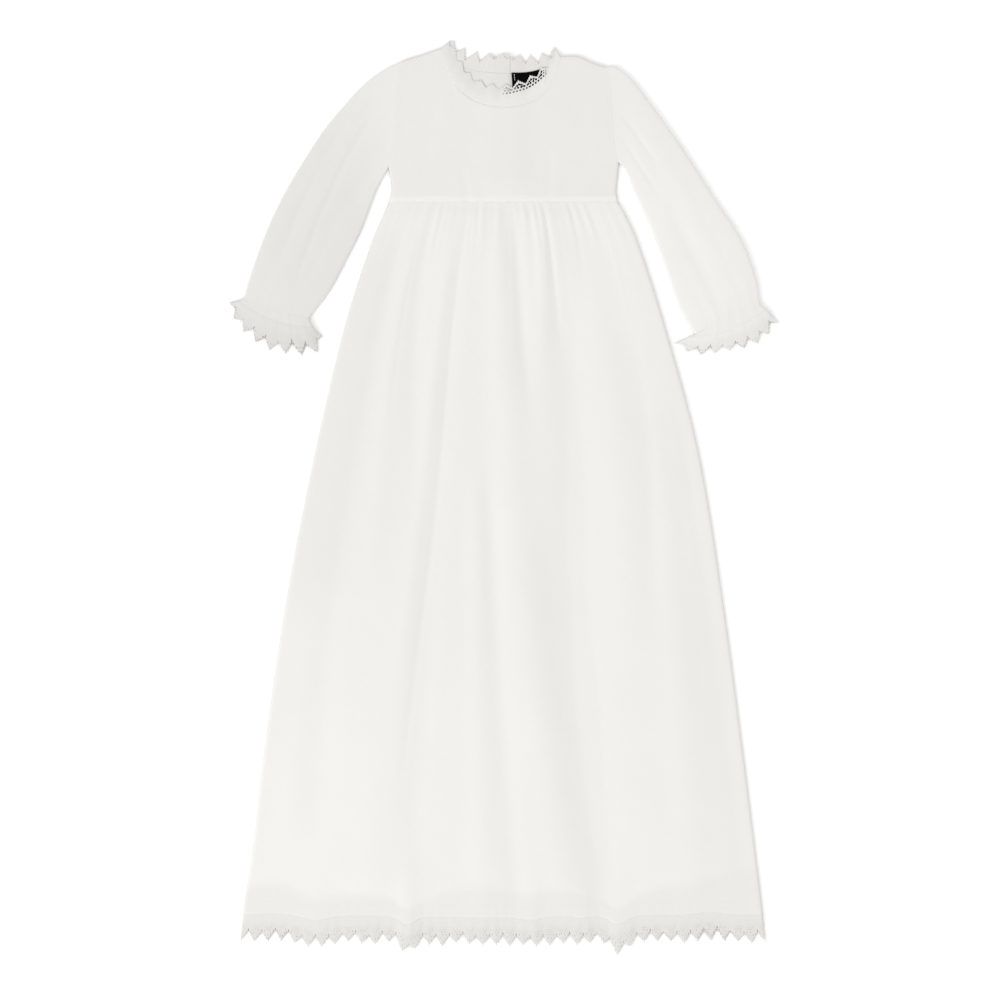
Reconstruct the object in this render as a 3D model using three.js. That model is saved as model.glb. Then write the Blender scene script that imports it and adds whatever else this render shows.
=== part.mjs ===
// A long christening gown, laid flat on its back: bodice, gathered skirt, bishop sleeves, and one
// pointed lace edging round the neck, the cuffs and the hem. Millimetres. +X is across the gown,
// +Y towards the neck, +Z up from the surface that it lies on.
import * as THREE from "three";

// Driving dimensions.
const WALL = 1.2; // cloth
const LACE = 1.0; // lace edging and label
const SEAM = 0.3; // between layers, and between pieces that are sewn together
const CURVED_SEAM = 0.5; // between sewn pieces whose edges are curved
const WAIST_Y = 296; // waist seam, from the middle of the gown
const WAIST_LEFT = -115; // ends of the waist seam
const WAIST_RIGHT = 113;
const SKIRT_LENGTH = 713; // waist seam to the cloth's hem
const LACE_DEPTH = 27; // lace edging, from its seam to its tips
const POINT_SHARE = 0.37; // share of that depth that the points take
const HEM_POINTS = 39; // lace points across one side of the hem
const GATHERS = 24; // gathers across the front of the waist
const GATHER_RISE = 1.5; // height of the waist gathers
const HIGHEST_FOLD = 5.0; // top of the tallest skirt fold above the flat front
const FOLD_WALL = 1.4; // extra cloth drawn together in the tallest fold
const SLEEVE_LOFT = 3.5; // highest that a sleeve's upper layer stands above its flat state
const OPENING_X = -1.5; // the opening down the middle of the back
const UPPER_EDGE_X = 5.5; // edge of the back half that lies nearer the front
const LOWER_EDGE_X = -8; // edge of the back half that lies under it
const BUTTON_LIFT = 1.5; // how far the buttons hold the back off the surface
const FRONT_FLOOR = WALL + SEAM; // underside of a front panel where it lies flat on the back
const FRONT_TOP = FRONT_FLOOR + WALL;

// One row for each section or fold, under named columns.
const table = (names, ...rows) =>
  rows.map((row) => Object.fromEntries(names.split(" ").map((name, i) => [name, row[i]])));

// Half widths of the skirt, by distance below the waist seam.
const skirtSides = table("drop left right",
  [0, -WAIST_LEFT, WAIST_RIGHT], [8, 118.5, 118.5], [38, 131.5, 132.5], [118, 157.5, 158.5],
  [248, 188.5, 193.5], [408, 219.5, 219.5], [568, 242.5, 240.5], [648, 251.5, 250.5],
  [698, 259.5, 256.5], [760, 266, 263]);

// Long soft folds of the front skirt. top, middle and foot are places across it, from 0 at its left
// side to 1. from and to are shares of its length. rise is up from the cloth, or down if negative,
// and wide is a share of its width.
const skirtFolds = table("top middle foot from to rise wide",
  [0.300, 0.285, 0.250, 0.02, 0.76, 1.2, 0.018], [0.340, 0.326, 0.320, 0.02, 0.98, -1.8, 0.024],
  [0.465, 0.530, 0.625, 0.00, 1.06, 2.3, 0.046], [0.705, 0.662, 0.706, 0.10, 1.06, -2.4, 0.050],
  [0.538, 0.580, 0.640, 0.00, 0.34, -1.6, 0.022], [0.648, 0.560, 0.500, 0.00, 0.30, 1.3, 0.024],
  [0.668, 0.666, 0.664, 0.00, 0.24, -1.4, 0.010], [0.815, 0.791, 0.780, 0.06, 0.70, 1.6, 0.046],
  [0.930, 0.892, 0.873, 0.30, 1.06, 1.9, 0.038], [0.925, 0.850, 0.780, 0.18, 0.62, -0.9, 0.020],
  [0.970, 0.967, 0.978, 0.25, 1.06, -1.0, 0.016], [0.104, 0.104, 0.126, 0.02, 0.98, -1.5, 0.030],
  [0.145, 0.184, 0.215, 0.02, 0.60, 1.0, 0.026], [0.190, 0.285, 0.350, 0.02, 0.46, -1.4, 0.030],
  [0.330, 0.275, 0.235, 0.46, 1.06, 1.5, 0.055], [0.370, 0.434, 0.462, 0.36, 1.06, 1.2, 0.026],
  [0.400, 0.471, 0.528, 0.36, 1.06, -1.3, 0.022], [0.050, 0.055, 0.070, 0.58, 1.02, 0.9, 0.026]);

// Where a fold brings the hem down past its own line, and how far it stands up there.
const hemDips = table("at deep wide rise",
  [-20, 3.5, 120, 0.0], [-230, -2, 20, 0.0], [-186.5, 6, 17, 0.9], [-96.5, 10.5, 10, 1.4],
  [26.5, 4, 12, 0.8], [80, 2.5, 9, 0.6], [114.5, 11, 12, 1.4], [205, -4, 16, 0.0]);

// Bodice edges, as points from the gown's middle.
const neckLeft = { x: -64, y: 450 };
const neckRight = { x: 56.5, y: 442 };
const underarmLeft = { x: -116, y: 331 };
const underarmRight = { x: 114, y: 336 };
const shoulderLeft = { x: -102, y: 437.3 };
const shoulderRight = { x: 101, y: 431.3 };
const leftSide = [...table("x y",
  [WAIST_LEFT, WAIST_Y], [-112.5, 308], [-113.5, 318]), underarmLeft];
const rightSide = [...table("x y",
  [WAIST_RIGHT, WAIST_Y], [111.5, 308], [112.5, 318]), underarmRight];
const leftArmhole = [underarmLeft, ...table("x y",
  [-112.3, 352], [-108.8, 378], [-108.3, 410], [-105.5, 427]), shoulderLeft];
const rightArmhole = [underarmRight, ...table("x y",
  [111, 350], [108.5, 378], [106.5, 410], [104, 424]), shoulderRight];
const leftShoulder = [shoulderLeft, ...table("x y", [-86.5, 442], [-74.5, 446]), neckLeft];
const rightShoulder = [neckRight, ...table("x y", [72.5, 442], [82.5, 438], [90.5, 434.5]), shoulderRight];
const frontNeck = [neckLeft, ...table("x y",
  [-58.5, 431], [-47.5, 411], [-27.5, 396], [-1.5, 391], [25.5, 395.5], [43.5, 410], [53, 427]), neckRight];
const backNeck = [neckLeft, ...table("x y",
  [-50, 437], [-29.5, 429], [-1.5, 426], [25.5, 427], [44, 433]), neckRight];

// Lace tips of the neck edging, over the front and over the back.
const tipLeft = { x: -53, y: 459.3 };
const tipRight = { x: 50, y: 451.5 };
const frontNeckTips = [tipLeft, ...table("x y",
  [-45.5, 443], [-35.5, 427], [-19.5, 416.5], [-0.5, 414], [23.5, 417.5], [36.5, 427],
  [44.5, 438]), tipRight];
const backNeckTips = [tipLeft, ...table("x y",
  [-36.5, 450.5], [-16, 446.5], [11, 444.5], [34, 446]), tipRight];

// Each sleeve: its two edges from the armhole to the gathered wrist, the ends of the short frill past
// the wrist, the line of its lace tips, and its folds. A fold runs from start to end across the sleeve,
// which are shares from its outer edge, between two shares of its length.
const leftSleeve = {
  armhole: leftArmhole,
  outwards: -1,
  outer: table("x y",
    [-102.5, 437], [-117.5, 430], [-135.5, 418], [-155.5, 398], [-180.5, 368], [-206.5, 328],
    [-223.5, 298], [-241.5, 258], [-255.5, 218], [-260.5, 200]),
  inner: table("x y",
    [-116.5, 330.6], [-128.5, 308], [-143.5, 268], [-158.5, 238], [-174.5, 208], [-195.5, 180]),
  frillOuter: { x: -266.5, y: 197.5 },
  frillInner: { x: -191.5, y: 171.5 },
  wristBow: 1.5,
  frillBow: 5,
  tips: table("x y",
    [-275.3, 195.5], [-272.5, 182], [-265.5, 171], [-255.5, 160.5], [-241, 150.5], [-227.5, 146],
    [-212.5, 142.8], [-200, 143], [-187, 145.2], [-182, 161]),
  folds: table("start end from to rise wide", [0.85, 0.50, 0.06, 0.82, -1.5, 0.09],
    [0.68, 0.32, 0.08, 0.85, 0.7, 0.12], [0.30, 0.22, 0.30, 0.90, -0.8, 0.08]),
};
const rightSleeve = {
  armhole: rightArmhole,
  outwards: 1,
  outer: table("x y",
    [101.5, 431], [110, 432], [119.5, 426], [129.5, 416.5], [143.5, 398], [158.5, 378], [186, 338],
    [211.5, 298], [237.5, 258], [252, 219], [256, 194]),
  inner: table("x y",
    [114.5, 335.6], [122.5, 328], [130, 308], [148, 267], [162.5, 228], [176.5, 188], [191, 163]),
  frillOuter: { x: 263, y: 188.5 },
  frillInner: { x: 184, y: 161 },
  wristBow: -5,
  frillBow: 12,
  tips: table("x y",
    [274.5, 175], [264.3, 163], [255.5, 155.5], [243, 150.3], [224, 147.4], [210, 144.6],
    [200, 143], [188, 144.2], [178, 149], [170.5, 155]),
  folds: table("start end from to rise wide", [0.62, 0.55, 0.40, 0.92, -1.0, 0.10],
    [0.30, 0.35, 0.10, 0.80, 0.5, 0.14]),
};

const lerp = (a, b, t) => a + (b - a) * t;
const between = (p, q, t) => ({ x: lerp(p.x, q.x, t), y: lerp(p.y, q.y, t) });
const clamp = (x, low, high) => Math.min(high, Math.max(low, x));
const bell = (x) => Math.exp(-x * x);
const wave = (turns) => Math.cos(2 * Math.PI * turns);
const range = (n) => Array.from({ length: n }, (_, i) => i);
const even = (n) => range(n + 1).map((i) => i / n);
// Shares that lie closer together at both ends, for a rounded edge.
const closerAtEnds = (n) => range(n + 1).map((i) => 0.5 - 0.5 * Math.cos((Math.PI * i) / n));
// Shares for stretches that end at given places, each in its own number of even steps.
const stretches = (...ends) => [0, ...ends.flatMap(([end, steps], k) =>
  even(steps).slice(1).map((t) => lerp(k ? ends[k - 1][0] : 0, end, t)))];

// 0 below a, 1 above b, and a smooth step between them.
function step(a, b, x) {
  const t = clamp((x - a) / (b - a), 0, 1);
  return t * t * (3 - 2 * t);
}

// The value of one column of a table at a place in another: a cubic through the rows, whose slope
// at each row comes from the rows on both sides.
function column(rows, key, value, at) {
  const last = rows.length - 1;
  let i = 0;
  while (i < last - 1 && at > rows[i + 1][key]) i += 1;
  const slope = (k) => {
    const a = rows[Math.max(0, k - 1)];
    const b = rows[Math.min(last, k + 1)];
    return (b[value] - a[value]) / (b[key] - a[key]);
  };
  const span = rows[i + 1][key] - rows[i][key];
  const t = clamp((at - rows[i][key]) / span, 0, 1);
  const rise = rows[i + 1][value] - rows[i][value];
  const s0 = slope(i) * span;
  const s1 = slope(i + 1) * span;
  return rows[i][value] + t * s0 + t * t * (3 * rise - 2 * s0 - s1) + t * t * t * (s0 + s1 - 2 * rise);
}

// A smooth line through points, with t from 0 to 1 by the length of its chords.
function line(points) {
  const rows = points.map((p) => ({ ...p, along: 0 }));
  for (let i = 1; i < rows.length; i += 1)
    rows[i].along = rows[i - 1].along + Math.hypot(rows[i].x - rows[i - 1].x, rows[i].y - rows[i - 1].y);
  const length = rows.at(-1).along;
  return (t) => ({
    x: column(rows, "along", "x", t * length),
    y: column(rows, "along", "y", t * length),
  });
}

// Lines one after another, each over its own share of t, up to the next of the joints.
function chain(lines, joints) {
  return (t) => {
    let i = 0;
    while (i < lines.length - 1 && t > joints[i]) i += 1;
    const start = i ? joints[i - 1] : 0;
    const end = i < joints.length ? joints[i] : 1;
    return lines[i](clamp((t - start) / (end - start), 0, 1));
  };
}

// The share of a line at which it reaches x, for a line that runs towards +X.
function shareAt(path, x) {
  let low = 0;
  let high = 1;
  while (high - low > 1e-6) {
    const middle = (low + high) / 2;
    if (path(middle).x < x) low = middle;
    else high = middle;
  }
  return low;
}

// A line moved sideways, to the left of its run.
function beside(path, gap) {
  return (t) => {
    const here = path(t);
    const before = path(Math.max(0, t - 0.005));
    const after = path(Math.min(1, t + 0.005));
    const run = Math.hypot(after.x - before.x, after.y - before.y) / gap;
    return { x: here.x - (after.y - before.y) / run, y: here.y + (after.x - before.x) / run };
  };
}

// A patch of plan between four edges: low and high run across, left and right run up.
function patch(low, high, left, right) {
  const place = (u, v, key) =>
    lerp(low(u)[key], high(u)[key], v) + lerp(left(v)[key], right(v)[key], u) -
    lerp(lerp(low(0)[key], low(1)[key], u), lerp(high(0)[key], high(1)[key], u), v);
  return (u, v) => ({ x: place(u, v, "x"), y: place(u, v, "y") });
}

// Six times the volume that the faces hold, negative if they point inwards.
function volume(points, faces) {
  let sum = 0;
  for (let i = 0; i < faces.length; i += 3) {
    const [a, b, c] = faces.slice(i, i + 3).map((k) => new THREE.Vector3(...points[k]));
    sum += a.dot(b.cross(c));
  }
  return sum;
}

// A closed body between an outer and an inner grid of points, joined round their free edges. A
// tube's rows run all the way round.
function wall(outer, inner, isTube = false) {
  const rows = outer.length;
  const columns = outer[0].length;
  const spans = isTube ? columns : columns - 1;
  const points = [...outer.flat(), ...inner.flat()];
  const faces = [];
  const at = (layer, i, j) => layer * rows * columns + i * columns + (j % columns);
  const quad = (a, b, c, d) => faces.push(a, b, c, a, c, d);
  const rim = (i, j, m, n) => quad(at(0, i, j), at(1, i, j), at(1, m, n), at(0, m, n));
  for (const i of range(rows - 1))
    for (const j of range(spans)) {
      quad(at(0, i, j), at(0, i + 1, j), at(0, i + 1, j + 1), at(0, i, j + 1));
      quad(at(1, i, j + 1), at(1, i + 1, j + 1), at(1, i + 1, j), at(1, i, j));
    }
  for (const j of range(spans)) {
    rim(rows - 1, j, rows - 1, j + 1);
    rim(0, j + 1, 0, j);
  }
  for (const i of range(isTube ? 0 : rows - 1)) {
    rim(i, 0, i + 1, 0);
    rim(i + 1, columns - 1, i, columns - 1);
  }
  if (volume(points, faces) < 0) faces.reverse();
  return new THREE.BufferGeometry()
    .setAttribute("position", new THREE.Float32BufferAttribute(points.flat(), 3))
    .setIndex(faces);
}

// One layer of cloth: plan places its points, and under and top give the heights of its two faces.
function panel(plan, under, top, across, along) {
  const grid = (height) =>
    along.map((v) => across.map((u) => [plan(u, v).x, plan(u, v).y, height(u, v)]));
  return wall(grid(top), grid(under));
}

// A flattened tube on the surface: plan(along, across) places it, and top is the height of its upper
// face. A fold at each side joins its two layers.
function flatTube(plan, top, thick, along, topAcross, underAcross) {
  const ring = (s, inset) => {
    const width = Math.hypot(plan(s, 1).x - plan(s, 0).x, plan(s, 1).y - plan(s, 0).y);
    const point = (w, z) => {
      const { x, y } = plan(s, lerp(inset / width, 1 - inset / width, w));
      return [x, y, z];
    };
    const upper = topAcross.slice(1, -1).map((w) => point(w, top(s, w) - inset));
    const lower = underAcross.slice(1, -1).map((w) => point(w, inset));
    const fold = FRONT_TOP / 2;
    return [point(0, fold), ...upper, point(1, fold), ...lower.reverse()];
  };
  return wall(along.map((s) => ring(s, 0)), along.map((s) => ring(s, thick)), true);
}

// How high a layer stands across its width: nothing at its sides, and 1 in the middle.
const swell = (share, power) => clamp(4 * share * (1 - share), 0, 1) ** power;

// Skirt.
const sideX = (side, drop) => column(skirtSides, "drop", side, drop);
const acrossSkirt = (u, drop) => lerp(-sideX("left", drop), sideX("right", drop), u);
const hemDip = (x) => hemDips.reduce((sum, d) => sum + d.deep * bell((x - d.at) / d.wide), 0);
const hemRise = (x) => hemDips.reduce((sum, d) => sum + d.rise * bell((x - d.at) / d.wide), 0);

// The hem's dips reach the lace in full, the cloth above it in part, and the back not at all.
const CLOTH_DIP = 0.75;
function skirtPoint(u, v, dips) {
  const drop = v * SKIRT_LENGTH;
  const x = acrossSkirt(u, drop);
  return { x, y: WAIST_Y - SEAM - drop - dips * CLOTH_DIP * hemDip(x) * step(0.8, 1, v) };
}

// Gathers at the waist: a wave across the skirt, uneven in depth, that dies away below the seam.
function gathers(u, drop) {
  const uneven = 0.75 + 0.25 * Math.sin(2 * Math.PI * 5 * u + 1);
  return GATHER_RISE * uneven * wave(GATHERS * u) * bell(drop / 42);
}

// Height of the front skirt above its flat state.
function skirtRelief(u, v) {
  const folds = skirtFolds.reduce((sum, f) => {
    const place = v < 0.5 ? lerp(f.top, f.middle, 2 * v) : lerp(f.middle, f.foot, 2 * v - 1);
    const ends = step(f.from - 0.03, f.from + 0.1, v) * (1 - step(f.to - 0.16, f.to, v));
    return sum + f.rise * ends * bell((u - place) / f.wide);
  }, 0);
  const loft = 2.3 + 0.5 * Math.cos(2 * Math.PI * 3 * u + 4 * v);
  const hem = hemRise(skirtPoint(u, v, 1).x) * step(0.84, 1, v) - 0.9 * step(0.93, 1, v);
  const height = swell(u, 0.5) * (loft + gathers(u, v * SKIRT_LENGTH) + folds + hem);
  return clamp(height, 0, HIGHEST_FOLD);
}

function frontSkirt() {
  const top = (u, v) => FRONT_TOP + skirtRelief(u, v);
  const under = (u, v) => top(u, v) - WALL - FOLD_WALL * (skirtRelief(u, v) / HIGHEST_FOLD);
  const rows = even(12).map((v) => v ** 1.5);
  return panel((u, v) => skirtPoint(u, v, 1), under, top, even(4 * GATHERS), rows);
}

function backSkirt() {
  return panel((u, v) => skirtPoint(u, v, 0), () => 0, () => WALL, even(12), even(12).map((v) => v ** 1.3));
}

// Bodice. Its side edges run from the waist up to the underarm and on up the armhole, and its upper
// edge along the shoulder, the neck and the other shoulder.
const SIDE_SHARE = 0.25;
const bodiceRows = stretches([SIDE_SHARE, 2], [1, 7]);
const leftEdge = chain([line(leftSide), line(leftArmhole)], [SIDE_SHARE]);
const rightEdge = chain([line(rightSide), line(rightArmhole)], [SIDE_SHARE]);
const straight = (p, q) => (t) => between(p, q, t);
const atWaist = (x) => ({ x, y: WAIST_Y });

// How far the buttons lift the back, and the lapped half lies above the other.
const lift = (x, y) =>
  BUTTON_LIFT * (1 - step(9, 26, Math.abs(x - OPENING_X))) * step(302, 322, y);
const lap = (x) => FRONT_FLOOR * step(-25, -10, x) * (x < UPPER_EDGE_X + SEAM ? 1 : 0);
// How far that raises the front over the opening.
const overOpening = (x, y) =>
  1.15 * BUTTON_LIFT * (1 - step(11, 30, Math.abs(x - OPENING_X))) * step(296, 318, y) +
  1.1 * FRONT_FLOOR * step(-29, -12, x) * (1 - step(7.5, 22, x));

const ARMHOLE_LOFT = 0.8;
const BODICE_LOFT = 0.9;
function bodiceRelief(u, v) {
  const fromSide = Math.min(u, 1 - u);
  const shoulder = v ** 4 * (1 - step(0.2, 0.4, fromSide));
  const armhole = Math.sin(Math.PI * clamp((v - SIDE_SHARE) / (1 - SIDE_SHARE), 0, 1));
  const edge = ARMHOLE_LOFT * armhole * Math.max(0, 1 - 5 * fromSide) * (1 - swell(u, 0.5));
  return (BODICE_LOFT * swell(u, 0.5) + edge) * (1 - shoulder);
}

function frontBodice() {
  const neck = [0.2, 0.8];
  const top = chain([line(leftShoulder), line(frontNeck), line(rightShoulder)], neck);
  const plan = patch(straight(atWaist(WAIST_LEFT), atWaist(WAIST_RIGHT)), top, leftEdge, rightEdge);
  const under = (u, v) => FRONT_FLOOR + bodiceRelief(u, v) + overOpening(plan(u, v).x, plan(u, v).y);
  const columns = stretches([neck[0], 4], [neck[1], 22], [1, 4]);
  return panel(plan, under, (u, v) => under(u, v) + WALL, columns, bodiceRows);
}

// The left half lies over the other one at the opening, and both lie over the buttons.
function backBodiceLeft() {
  const neck = line(backNeck);
  const end = shareAt(neck, UPPER_EDGE_X);
  const neckStart = 0.34;
  const top = chain([line(leftShoulder), (t) => neck(t * end)], [neckStart]);
  const edge = straight(atWaist(UPPER_EDGE_X), neck(end));
  const plan = patch(straight(atWaist(WAIST_LEFT), atWaist(UPPER_EDGE_X)), top, leftEdge, edge);
  const under = (u, v) => lift(plan(u, v).x, plan(u, v).y) + lap(plan(u, v).x);
  return panel(plan, under, (u, v) => under(u, v) + WALL, stretches([neckStart, 3], [1, 12]), bodiceRows);
}

function backBodiceRight() {
  const neck = line(backNeck);
  const start = shareAt(neck, LOWER_EDGE_X);
  const neckEnd = 0.6;
  const top = chain([(t) => neck(lerp(start, 1, t)), line(rightShoulder)], [neckEnd]);
  const edge = straight(atWaist(LOWER_EDGE_X), neck(start));
  const plan = patch(straight(atWaist(LOWER_EDGE_X), atWaist(WAIST_RIGHT)), top, edge, rightEdge);
  const under = (u, v) => lift(plan(u, v).x, plan(u, v).y);
  return panel(plan, under, (u, v) => under(u, v) + WALL, stretches([neckEnd, 12], [1, 3]), bodiceRows);
}

// A plain label inside the back neck, beside the opening.
function neckLabel() {
  const neck = line(backNeck);
  const ends = [shareAt(neck, 8), shareAt(neck, 38)];
  const plan = (u, v) => {
    const top = neck(lerp(ends[0], ends[1], u));
    return { x: top.x + lerp(1, 0, v), y: top.y - lerp(20, SEAM, v) };
  };
  const under = (u, v) => FRONT_FLOOR + lift(plan(u, v).x, plan(u, v).y);
  return panel(plan, under, (u, v) => under(u, v) + LACE, even(6), even(2));
}

// Sleeves. s runs from the armhole at 0 over the gathered wrist to the frill's end at 1, and w from
// the outer edge to the inner one.
const WRIST = 0.95;
const WRIST_GATHERS = 6;
function sleevePlan(sleeve) {
  const outer = line(sleeve.outer);
  const inner = line(sleeve.inner);
  const armhole = line(sleeve.armhole);
  const edge = (path, end, s) =>
    (s <= WRIST ? path(s / WRIST) : between(path(1), end, (s - WRIST) / (1 - WRIST)));
  return (s, w) => {
    const p = between(edge(outer, sleeve.frillOuter, s), edge(inner, sleeve.frillInner, s), w);
    const chord = between(outer(0), inner(0), w);
    const seam = armhole(1 - w);
    const near = (1 - Math.min(s / 0.5, 1)) ** 2;
    const bow = sleeve.wristBow * step(0.8, WRIST, s) + sleeve.frillBow * step(WRIST, 1, s);
    return {
      x: p.x + near * (seam.x + sleeve.outwards * CURVED_SEAM - chord.x),
      y: p.y + near * (seam.y - chord.y) - bow * Math.sin(Math.PI * w),
    };
  };
}

function sleeveTop(sleeve, s, w) {
  const folds = sleeve.folds.reduce((sum, f) => {
    const share = clamp((s - f.from) / (f.to - f.from), 0, 1);
    const place = lerp(f.start, f.end, share);
    return sum + f.rise * Math.sin(Math.PI * share) ** 0.7 * bell((w - place) / f.wide);
  }, 0);
  const loft = ARMHOLE_LOFT + 1.7 * step(0, 0.25, s) + 0.4 * step(0.5, 0.85, s);
  const gathered = 0.6 * wave(WRIST_GATHERS * w) * step(0.72, WRIST, s) - bell((s - WRIST) / 0.035);
  return FRONT_TOP + swell(w, 0.4) * clamp(loft + folds + gathered, 0, SLEEVE_LOFT);
}

function sleeve(spec) {
  const along = [0, 0.05, 0.12, 0.22, 0.34, 0.46, 0.58, 0.7, 0.8, 0.88, WRIST, 1];
  return flatTube(sleevePlan(spec), (s, w) => sleeveTop(spec, s, w), WALL, along,
    closerAtEnds(16), closerAtEnds(10));
}

// Lace. Its reach at a place along a strip with that many points is 1 at a tip and less between tips.
function laceReach(along, points) {
  const fromTip = 2 * Math.abs(along * points - Math.round(along * points));
  return 1 - POINT_SHARE * step(0.06, 0.94, fromTip);
}
const laceRows = [0, 1];

const CUFF_POINTS = 8; // lace points across one side of a cuff
function cuffLace(spec) {
  const cloth = sleevePlan(spec);
  const seam = beside((w) => cloth(1, w), spec.outwards * CURVED_SEAM);
  const tips = line(spec.tips);
  const plan = (s, w) => between(seam(w), tips(w), s * laceReach(w, CUFF_POINTS));
  const top = (s, w) => FRONT_TOP + swell(w, 0.4) * (1.6 + 0.8 * s * wave(CUFF_POINTS * w));
  return flatTube(plan, top, LACE, laceRows, even(6 * CUFF_POINTS), even(4 * CUFF_POINTS));
}

// The neck edging is one strip. It starts at the back opening, goes left round the neck point, over
// the front and round the other neck point, and ends under its own start.
function neckLace() {
  const back = { seam: beside(line(backNeck), CURVED_SEAM), tips: line(backNeckTips) };
  const front = { seam: beside(line(frontNeck), CURVED_SEAM), tips: line(frontNeckTips), isFront: true };
  const parts = [
    { ...back, from: shareAt(back.seam, UPPER_EDGE_X), to: 0, points: 5, raised: lap },
    { ...front, from: 0, to: 1, points: 11 },
    { ...back, from: 1, to: shareAt(back.seam, LOWER_EDGE_X), points: 5, raised: () => 0 },
  ];
  const fold = FRONT_TOP / 2;
  const point = (part, t, s, inset) => {
    const share = lerp(part.from, part.to, t);
    const seam = part.seam(share);
    const { x, y } = between(seam, part.tips(share), s * laceReach(t, part.points));
    if (!part.isFront) return [x, y, lift(seam.x, seam.y) + part.raised(seam.x) + inset];
    if (t === 0) return [x + inset, y, fold];
    if (t === 1) return [x - inset, y, fold];
    const bump = Math.sin(Math.PI * t) ** 0.6;
    const rise = bump * (BODICE_LOFT + 1.2 * step(0, 0.7, s) + 0.5 * s * wave(part.points * t));
    return [x, y, FRONT_FLOOR + LACE + overOpening(seam.x, seam.y) + rise - inset];
  };
  const row = (s, inset) => [
    ...even(4 * parts[0].points).slice(0, -1).map((t) => point(parts[0], t, s, inset)),
    ...even(4 * parts[1].points).map((t) => point(parts[1], t, s, inset)),
    ...even(4 * parts[2].points).slice(1).map((t) => point(parts[2], t, s, inset)),
  ];
  const rows = [0, 0.6, 1];
  return wall(rows.map((s) => row(s, 0)), rows.map((s) => row(s, LACE)));
}

// The hem's edging goes on from a skirt panel's lower edge, and follows its folds.
function hemPlan(dips) {
  return (u, s) => {
    const seam = skirtPoint(u, 1, dips);
    const x = acrossSkirt(u, SKIRT_LENGTH + LACE_DEPTH);
    const tip = { x, y: WAIST_Y - SEAM - SKIRT_LENGTH - LACE_DEPTH - dips * hemDip(x) };
    return between(seam, tip, lerp(SEAM / LACE_DEPTH, laceReach(u, HEM_POINTS), s));
  };
}

function hemLaceFront() {
  const top = (u, s) => FRONT_TOP + skirtRelief(u, 1) + swell(u, 0.5) * 0.6 * s * wave(HEM_POINTS * u);
  return panel(hemPlan(1), (u, s) => top(u, s) - LACE, top, even(4 * HEM_POINTS), laceRows);
}

function hemLaceBack() {
  return panel(hemPlan(0), () => 0, () => LACE, even(2 * HEM_POINTS), laceRows);
}

// A small flat button with a rim on its outer face, which lies towards the surface.
function button(y) {
  const profile = table("radius z",
    [0, 0.3], [3.2, 0.3], [3.8, 0.1], [4.6, 0.1], [5, 0.4], [4.7, 1.2], [0, 1.2]);
  const turned = new THREE.LatheGeometry(profile.map((p) => new THREE.Vector2(p.radius, p.z)), 12);
  return turned.rotateX(Math.PI / 2).translate(OPENING_X, y, 0);
}

const cloth = new THREE.MeshStandardMaterial({ color: 0xecebe6, roughness: 0.9, metalness: 0 });
const lace = new THREE.MeshStandardMaterial({ color: 0xe6e4df, roughness: 0.95, metalness: 0 });
const woven = new THREE.MeshStandardMaterial({ color: 0x131313, roughness: 0.75, metalness: 0 });
const pearl = new THREE.MeshStandardMaterial({ color: 0xf1eee6, roughness: 0.35, metalness: 0 });

const pieces = [
  ["front_bodice", frontBodice(), cloth],
  ["back_bodice_left", backBodiceLeft(), cloth],
  ["back_bodice_right", backBodiceRight(), cloth],
  ["front_skirt", frontSkirt(), cloth],
  ["back_skirt", backSkirt(), cloth],
  ["sleeve_left", sleeve(leftSleeve), cloth],
  ["sleeve_right", sleeve(rightSleeve), cloth],
  ["neck_lace", neckLace(), lace],
  ["cuff_lace_left", cuffLace(leftSleeve), lace],
  ["cuff_lace_right", cuffLace(rightSleeve), lace],
  ["hem_lace_front", hemLaceFront(), lace],
  ["hem_lace_back", hemLaceBack(), lace],
  ["label", neckLabel(), woven],
  ["button_top", button(413), pearl],
  ["button_middle", button(373), pearl],
  ["button_bottom", button(333), pearl],
];

const gown = new THREE.Group();
for (const [name, geometry, material] of pieces) {
  const mesh = new THREE.Mesh(geometry, material);
  mesh.name = name;
  gown.add(mesh);
}

// The origin is on the surface, under the middle of the gown's box.
const box = new THREE.Box3().setFromObject(gown);
const middle = box.getCenter(new THREE.Vector3());
gown.position.set(-middle.x, -middle.y, -box.min.z);

export default gown;
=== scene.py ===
# %% [markdown]
# # A long christening gown, laid flat
# A gown like this is cut from a few metres of fine off-white cotton. A short bodice carries a long
# skirt that is gathered into the waist seam, bishop sleeves are drawn in at the wrist, and one
# pointed lace edging runs round the neck, the cuffs and the hem. Here it lies on its back on a pale
# surface. Each cloth panel is a thin shell with its soft folds, and the lace has its real holes.

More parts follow.
